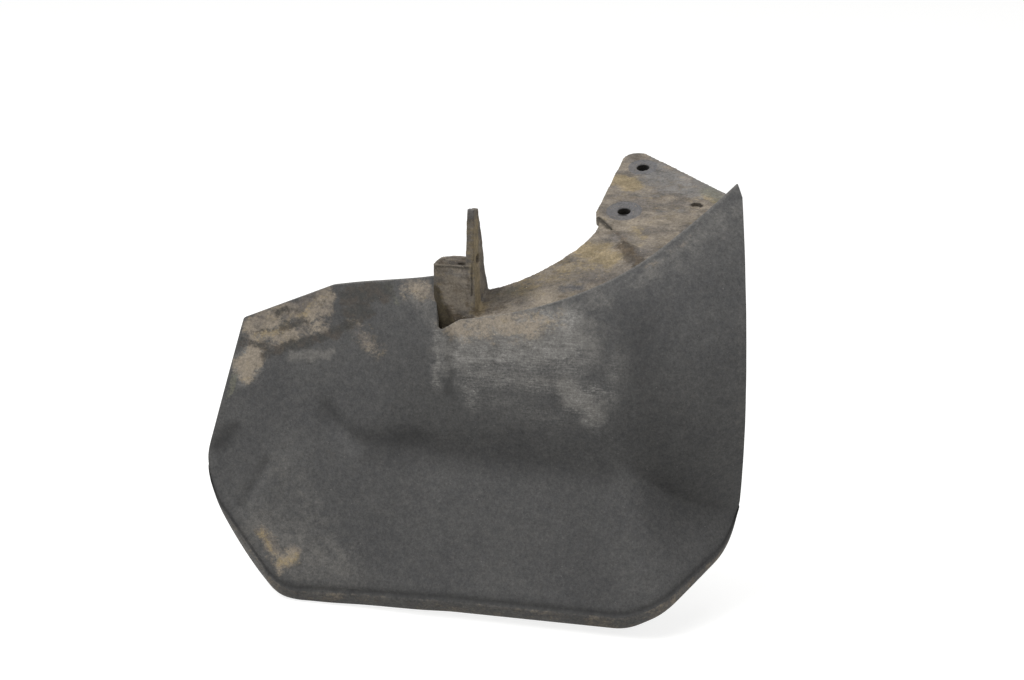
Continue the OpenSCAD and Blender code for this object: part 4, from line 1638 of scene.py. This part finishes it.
@dataclass
class Grit:
    """Grains of dried mud that stick to the arch shelf, scattered by a node tree."""

    ground: bpy.types.Object
    finish: bpy.types.Material
    per_square_cm: float = 7.0
    grain_mm: float = 0.34
    seed: int = 7
    least: Point = (0.4, 0.4, 0.25)
    most: Point = (1.5, 1.1, 0.8)

    def tree(self) -> bpy.types.NodeTree:
        """Return the node tree, with named inputs for the ground, number, size and finish.

        Returns:
            The new node tree.
        """
        tree = bpy.data.node_groups.new("grit", "GeometryNodeTree")
        for name, kind in (("Ground", "Object"), ("Per square metre", "Float"), ("Grain", "Float"),
                           ("Seed", "Int"), ("Finish", "Material")):
            tree.interface.new_socket(name, in_out="INPUT", socket_type=f"NodeSocket{kind}")
        tree.interface.new_socket("Geometry", in_out="OUTPUT", socket_type="NodeSocketGeometry")
        new, link = tree.nodes.new, tree.links.new
        start, end = new("NodeGroupInput"), new("NodeGroupOutput")
        ground = new("GeometryNodeObjectInfo")
        link(start.outputs["Ground"], ground.inputs["Object"])
        scatter = new("GeometryNodeDistributePointsOnFaces")
        link(ground.outputs["Geometry"], scatter.inputs["Mesh"])
        link(start.outputs["Seed"], scatter.inputs["Seed"])
        where = new("GeometryNodeInputNamedAttribute")
        where.inputs["Name"].default_value = Dirt.MUD.value
        facing = new("GeometryNodeInputNormal")
        split = new("ShaderNodeSeparateXYZ")
        link(facing.outputs[0], split.inputs[0])
        up = new("ShaderNodeMapRange")
        up.inputs["From Min"].default_value = -0.3
        link(split.outputs["Z"], up.inputs["Value"])
        dense = new("ShaderNodeMath")
        dense.operation = "MULTIPLY"
        link(where.outputs["Attribute"], dense.inputs[0])
        link(up.outputs[0], dense.inputs[1])
        amount = new("ShaderNodeMath")
        amount.operation = "MULTIPLY"
        link(dense.outputs[0], amount.inputs[0])
        link(start.outputs["Per square metre"], amount.inputs[1])
        link(amount.outputs[0], scatter.inputs["Density"])
        grain = new("GeometryNodeMeshIcoSphere")
        grain.inputs["Subdivisions"].default_value = 1
        link(start.outputs["Grain"], grain.inputs["Radius"])
        size = new("FunctionNodeRandomValue")
        size.data_type = "FLOAT_VECTOR"
        size.inputs[0].default_value = self.least
        size.inputs[1].default_value = self.most
        link(start.outputs["Seed"], size.inputs["Seed"])
        place = new("GeometryNodeInstanceOnPoints")
        link(scatter.outputs["Points"], place.inputs["Points"])
        link(grain.outputs["Mesh"], place.inputs["Instance"])
        link(scatter.outputs["Rotation"], place.inputs["Rotation"])
        link(size.outputs[0], place.inputs["Scale"])
        whole = new("GeometryNodeRealizeInstances")
        link(place.outputs[0], whole.inputs[0])
        paint = new("GeometryNodeSetMaterial")
        link(whole.outputs[0], paint.inputs["Geometry"])
        link(start.outputs["Finish"], paint.inputs["Material"])
        link(paint.outputs[0], end.inputs[0])
        return tree

    def build(self) -> bpy.types.Object:
        """Return the grains as one plain mesh.

        Returns:
            The object of the grains.
        """
        piece = add_object("mud_grit", bpy.data.meshes.new("mud_grit"))
        tree = self.tree()
        values = {
            "Ground": self.ground,
            "Per square metre": self.per_square_cm * 1e4,
            "Grain": self.grain_mm * MM,
            "Seed": self.seed,
            "Finish": self.finish,
        }
        nodes = piece.modifiers.new("grit", "NODES")
        nodes.node_group = tree
        for item in tree.interface.items_tree:
            if item.in_out == "INPUT":
                nodes[item.identifier] = values[item.name]
        return applied(piece)


@dataclass(frozen=True)
class DriedMud:
    """Crumbs of dried mud, from grey to yellow."""

    name: str = "dried_mud"
    pale: Rgb = (0.300, 0.255, 0.190)
    dark: Rgb = (0.150, 0.128, 0.104)

    def build(self) -> bpy.types.Material:
        """Return the material.

        Returns:
            The new material.
        """
        g = Graph(self.name)
        g.plug(g.shader.inputs["Base Color"], g.mix(g.step(g.noise(2.5, 2), 0.4, 0.6), self.dark, self.pale))
        g.shader.inputs["Roughness"].default_value = 0.95
        g.shader.inputs["Specular IOR Level"].default_value = 0.15
        g.relief(g.noise(0.3, 3, 0.7), 0.2, 0.4)
        return g.material


@dataclass
class Studio:
    """The camera, the soft lamps, the pale floor and the white background."""

    azimuth: float = 16.0
    elevation: float = 17.0
    distance: float = 1400.0
    mm_per_pixel: float = 0.6
    origin_pixel: Point = (624.0, 211.0)
    picture: Point = (1024.0, 680.0)
    sensor: float = 36.0
    aim: Point = (-0.05, -0.06, -0.1)
    lamps: tuple[tuple[str, Point, float, float], ...] = (
        ("key", (-1.0, -0.9, 1.8), 1.3, 36.0),
        ("top", (0.1, 0.3, 1.9), 1.2, 12.0),
        ("side", (1.4, -0.7, 0.6), 1.0, 4.5),
    )
    sky: float = 0.34
    floor_reach: float = 6.0
    floor_gap: float = 0.0002
    floor_colour: Rgb = (0.42, 0.42, 0.41)
    floor_glow: float = 0.76

    def camera(self) -> None:
        """Make the camera at the photograph's viewing angle."""
        a, e = math.radians(self.azimuth), math.radians(self.elevation)
        back = Vector((math.sin(a) * math.cos(e), -math.cos(a) * math.cos(e), math.sin(e)))
        right = Vector((math.cos(a), math.sin(a), 0.0))
        up = back.cross(right)
        dx = (self.origin_pixel[0] - self.picture[0] / 2) * self.mm_per_pixel
        dy = (self.picture[1] / 2 - self.origin_pixel[1]) * self.mm_per_pixel
        place = (back * self.distance - right * dx - up * dy) * MM
        data = bpy.data.cameras.new("camera")
        data.sensor_width = self.sensor
        data.lens = self.sensor * self.distance / self.mm_per_pixel / self.picture[0]
        view = bpy.data.objects.new("camera", data)
        axes = Matrix((right, up, back)).transposed().to_4x4()
        view.matrix_world = Matrix.Translation(place) @ axes
        bpy.context.scene.collection.objects.link(view)
        bpy.context.scene.camera = view

    def lamp(self, name: str, place: Point, size: float, power: float) -> None:
        """Add one soft square lamp, aimed at the mudguard.

        Args:
            name: Name of the lamp.
            place: Its place in metres.
            size: Length of its side in metres.
            power: Its power in watts.
        """
        data = bpy.data.lights.new(name, "AREA")
        data.size = size
        data.energy = power
        lamp = bpy.data.objects.new(name, data)
        lamp.location = place
        lamp.rotation_euler = (Vector(place) - Vector(self.aim)).to_track_quat("Z", "Y").to_euler()
        bpy.context.scene.collection.objects.link(lamp)

    def sees(self, tree: bpy.types.NodeTree) -> bpy.types.NodeSocket:
        """Return 1 for rays from the camera, a gloss or a clear surface.

        Args:
            tree: The node tree that asks.

        Returns:
            The socket with the answer.
        """
        path = tree.nodes.new("ShaderNodeLightPath")
        total = path.outputs["Is Camera Ray"]
        for name in ("Is Glossy Ray", "Is Transmission Ray"):
            add = tree.nodes.new("ShaderNodeMath")
            add.operation = "MAXIMUM"
            tree.links.new(total, add.inputs[0])
            tree.links.new(path.outputs[name], add.inputs[1])
            total = add.outputs[0]
        return total

    def world(self) -> None:
        """Make the background white to the camera and a soft grey light elsewhere."""
        world = bpy.data.worlds.new("studio")
        world.use_nodes = True
        bpy.context.scene.world = world
        tree = world.node_tree
        tree.nodes.clear()
        soft, white = (tree.nodes.new("ShaderNodeBackground") for _ in range(2))
        soft.inputs["Strength"].default_value = self.sky
        soft.inputs["Color"].default_value = (1.0, 1.0, 1.0, 1.0)
        white.inputs["Color"].default_value = (1.0, 1.0, 1.0, 1.0)
        mix, out = tree.nodes.new("ShaderNodeMixShader"), tree.nodes.new("ShaderNodeOutputWorld")
        tree.links.new(self.sees(tree), mix.inputs[0])
        tree.links.new(soft.outputs[0], mix.inputs[1])
        tree.links.new(white.outputs[0], mix.inputs[2])
        tree.links.new(mix.outputs[0], out.inputs["Surface"])

    def floor(self, height: float) -> None:
        """Lay the pale floor at a height in metres.

        Args:
            height: Height of the floor, in metres.
        """
        mesh = bpy.data.meshes.new("floor")
        r = self.floor_reach
        corners = [(-r, -r, height), (r, -r, height), (r, r, height), (-r, r, height)]
        mesh.from_pydata(corners, [], [(0, 1, 2, 3)])
        floor = add_object("floor", mesh)
        g = Graph("pale_floor")
        g.shader.inputs["Base Color"].default_value = (*self.floor_colour, 1.0)
        g.shader.inputs["Roughness"].default_value = 0.9
        g.shader.inputs["Specular IOR Level"].default_value = 0.1
        g.plug(g.shader.inputs["Emission Color"], (1.0, 1.0, 1.0))
        glow = g.times(self.sees(g.tree), self.floor_glow)
        g.plug(g.shader.inputs["Emission Strength"], glow)
        mesh.materials.append(g.material)

    def build(self, lowest: float) -> None:
        """Set up the whole studio, with the floor just under the mudguard's lowest point.

        Args:
            lowest: Height of the mudguard's lowest point, in metres.
        """
        self.camera()
        self.world()
        for name, place, size, power in self.lamps:
            self.lamp(name, place, size, power)
        self.floor(lowest - self.floor_gap)
        bpy.context.scene.view_settings.view_transform = "Standard"


def main() -> None:
    """Build the mudguard, dress it and set up the studio."""
    logging.basicConfig(level=logging.INFO, format="%(name)s %(message)s")
    form, line = PanelForm(), PanelOutline()
    panel = SplashPanel(form, line, DirtyPlastic("dusty_moulding").build()).build()
    muddy = DirtyPlastic(
        "muddy_moulding", mud=(0.290, 0.249, 0.198), yellow=(0.306, 0.243, 0.144),
        brown=(0.120, 0.090, 0.060), stain=(0.062, 0.052, 0.042), dust=(0.205, 0.195, 0.184),
        streak=(0.45, 1.0, 1.0), patchy=2.4, bump=0.7,
    )
    shelf = ArchShelf(form, line, muddy.build()).build()
    grit = Grit(shelf, DriedMud().build()).build()
    for piece in (panel, shelf, grit):
        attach(piece, "root")
        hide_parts(NODE)
        LOG.info("%s: %d faces", piece.name, len(piece.data.polygons))
    Studio().build(min(v.co.z for v in panel.data.vertices))


if __name__ == "__main__":
    main()
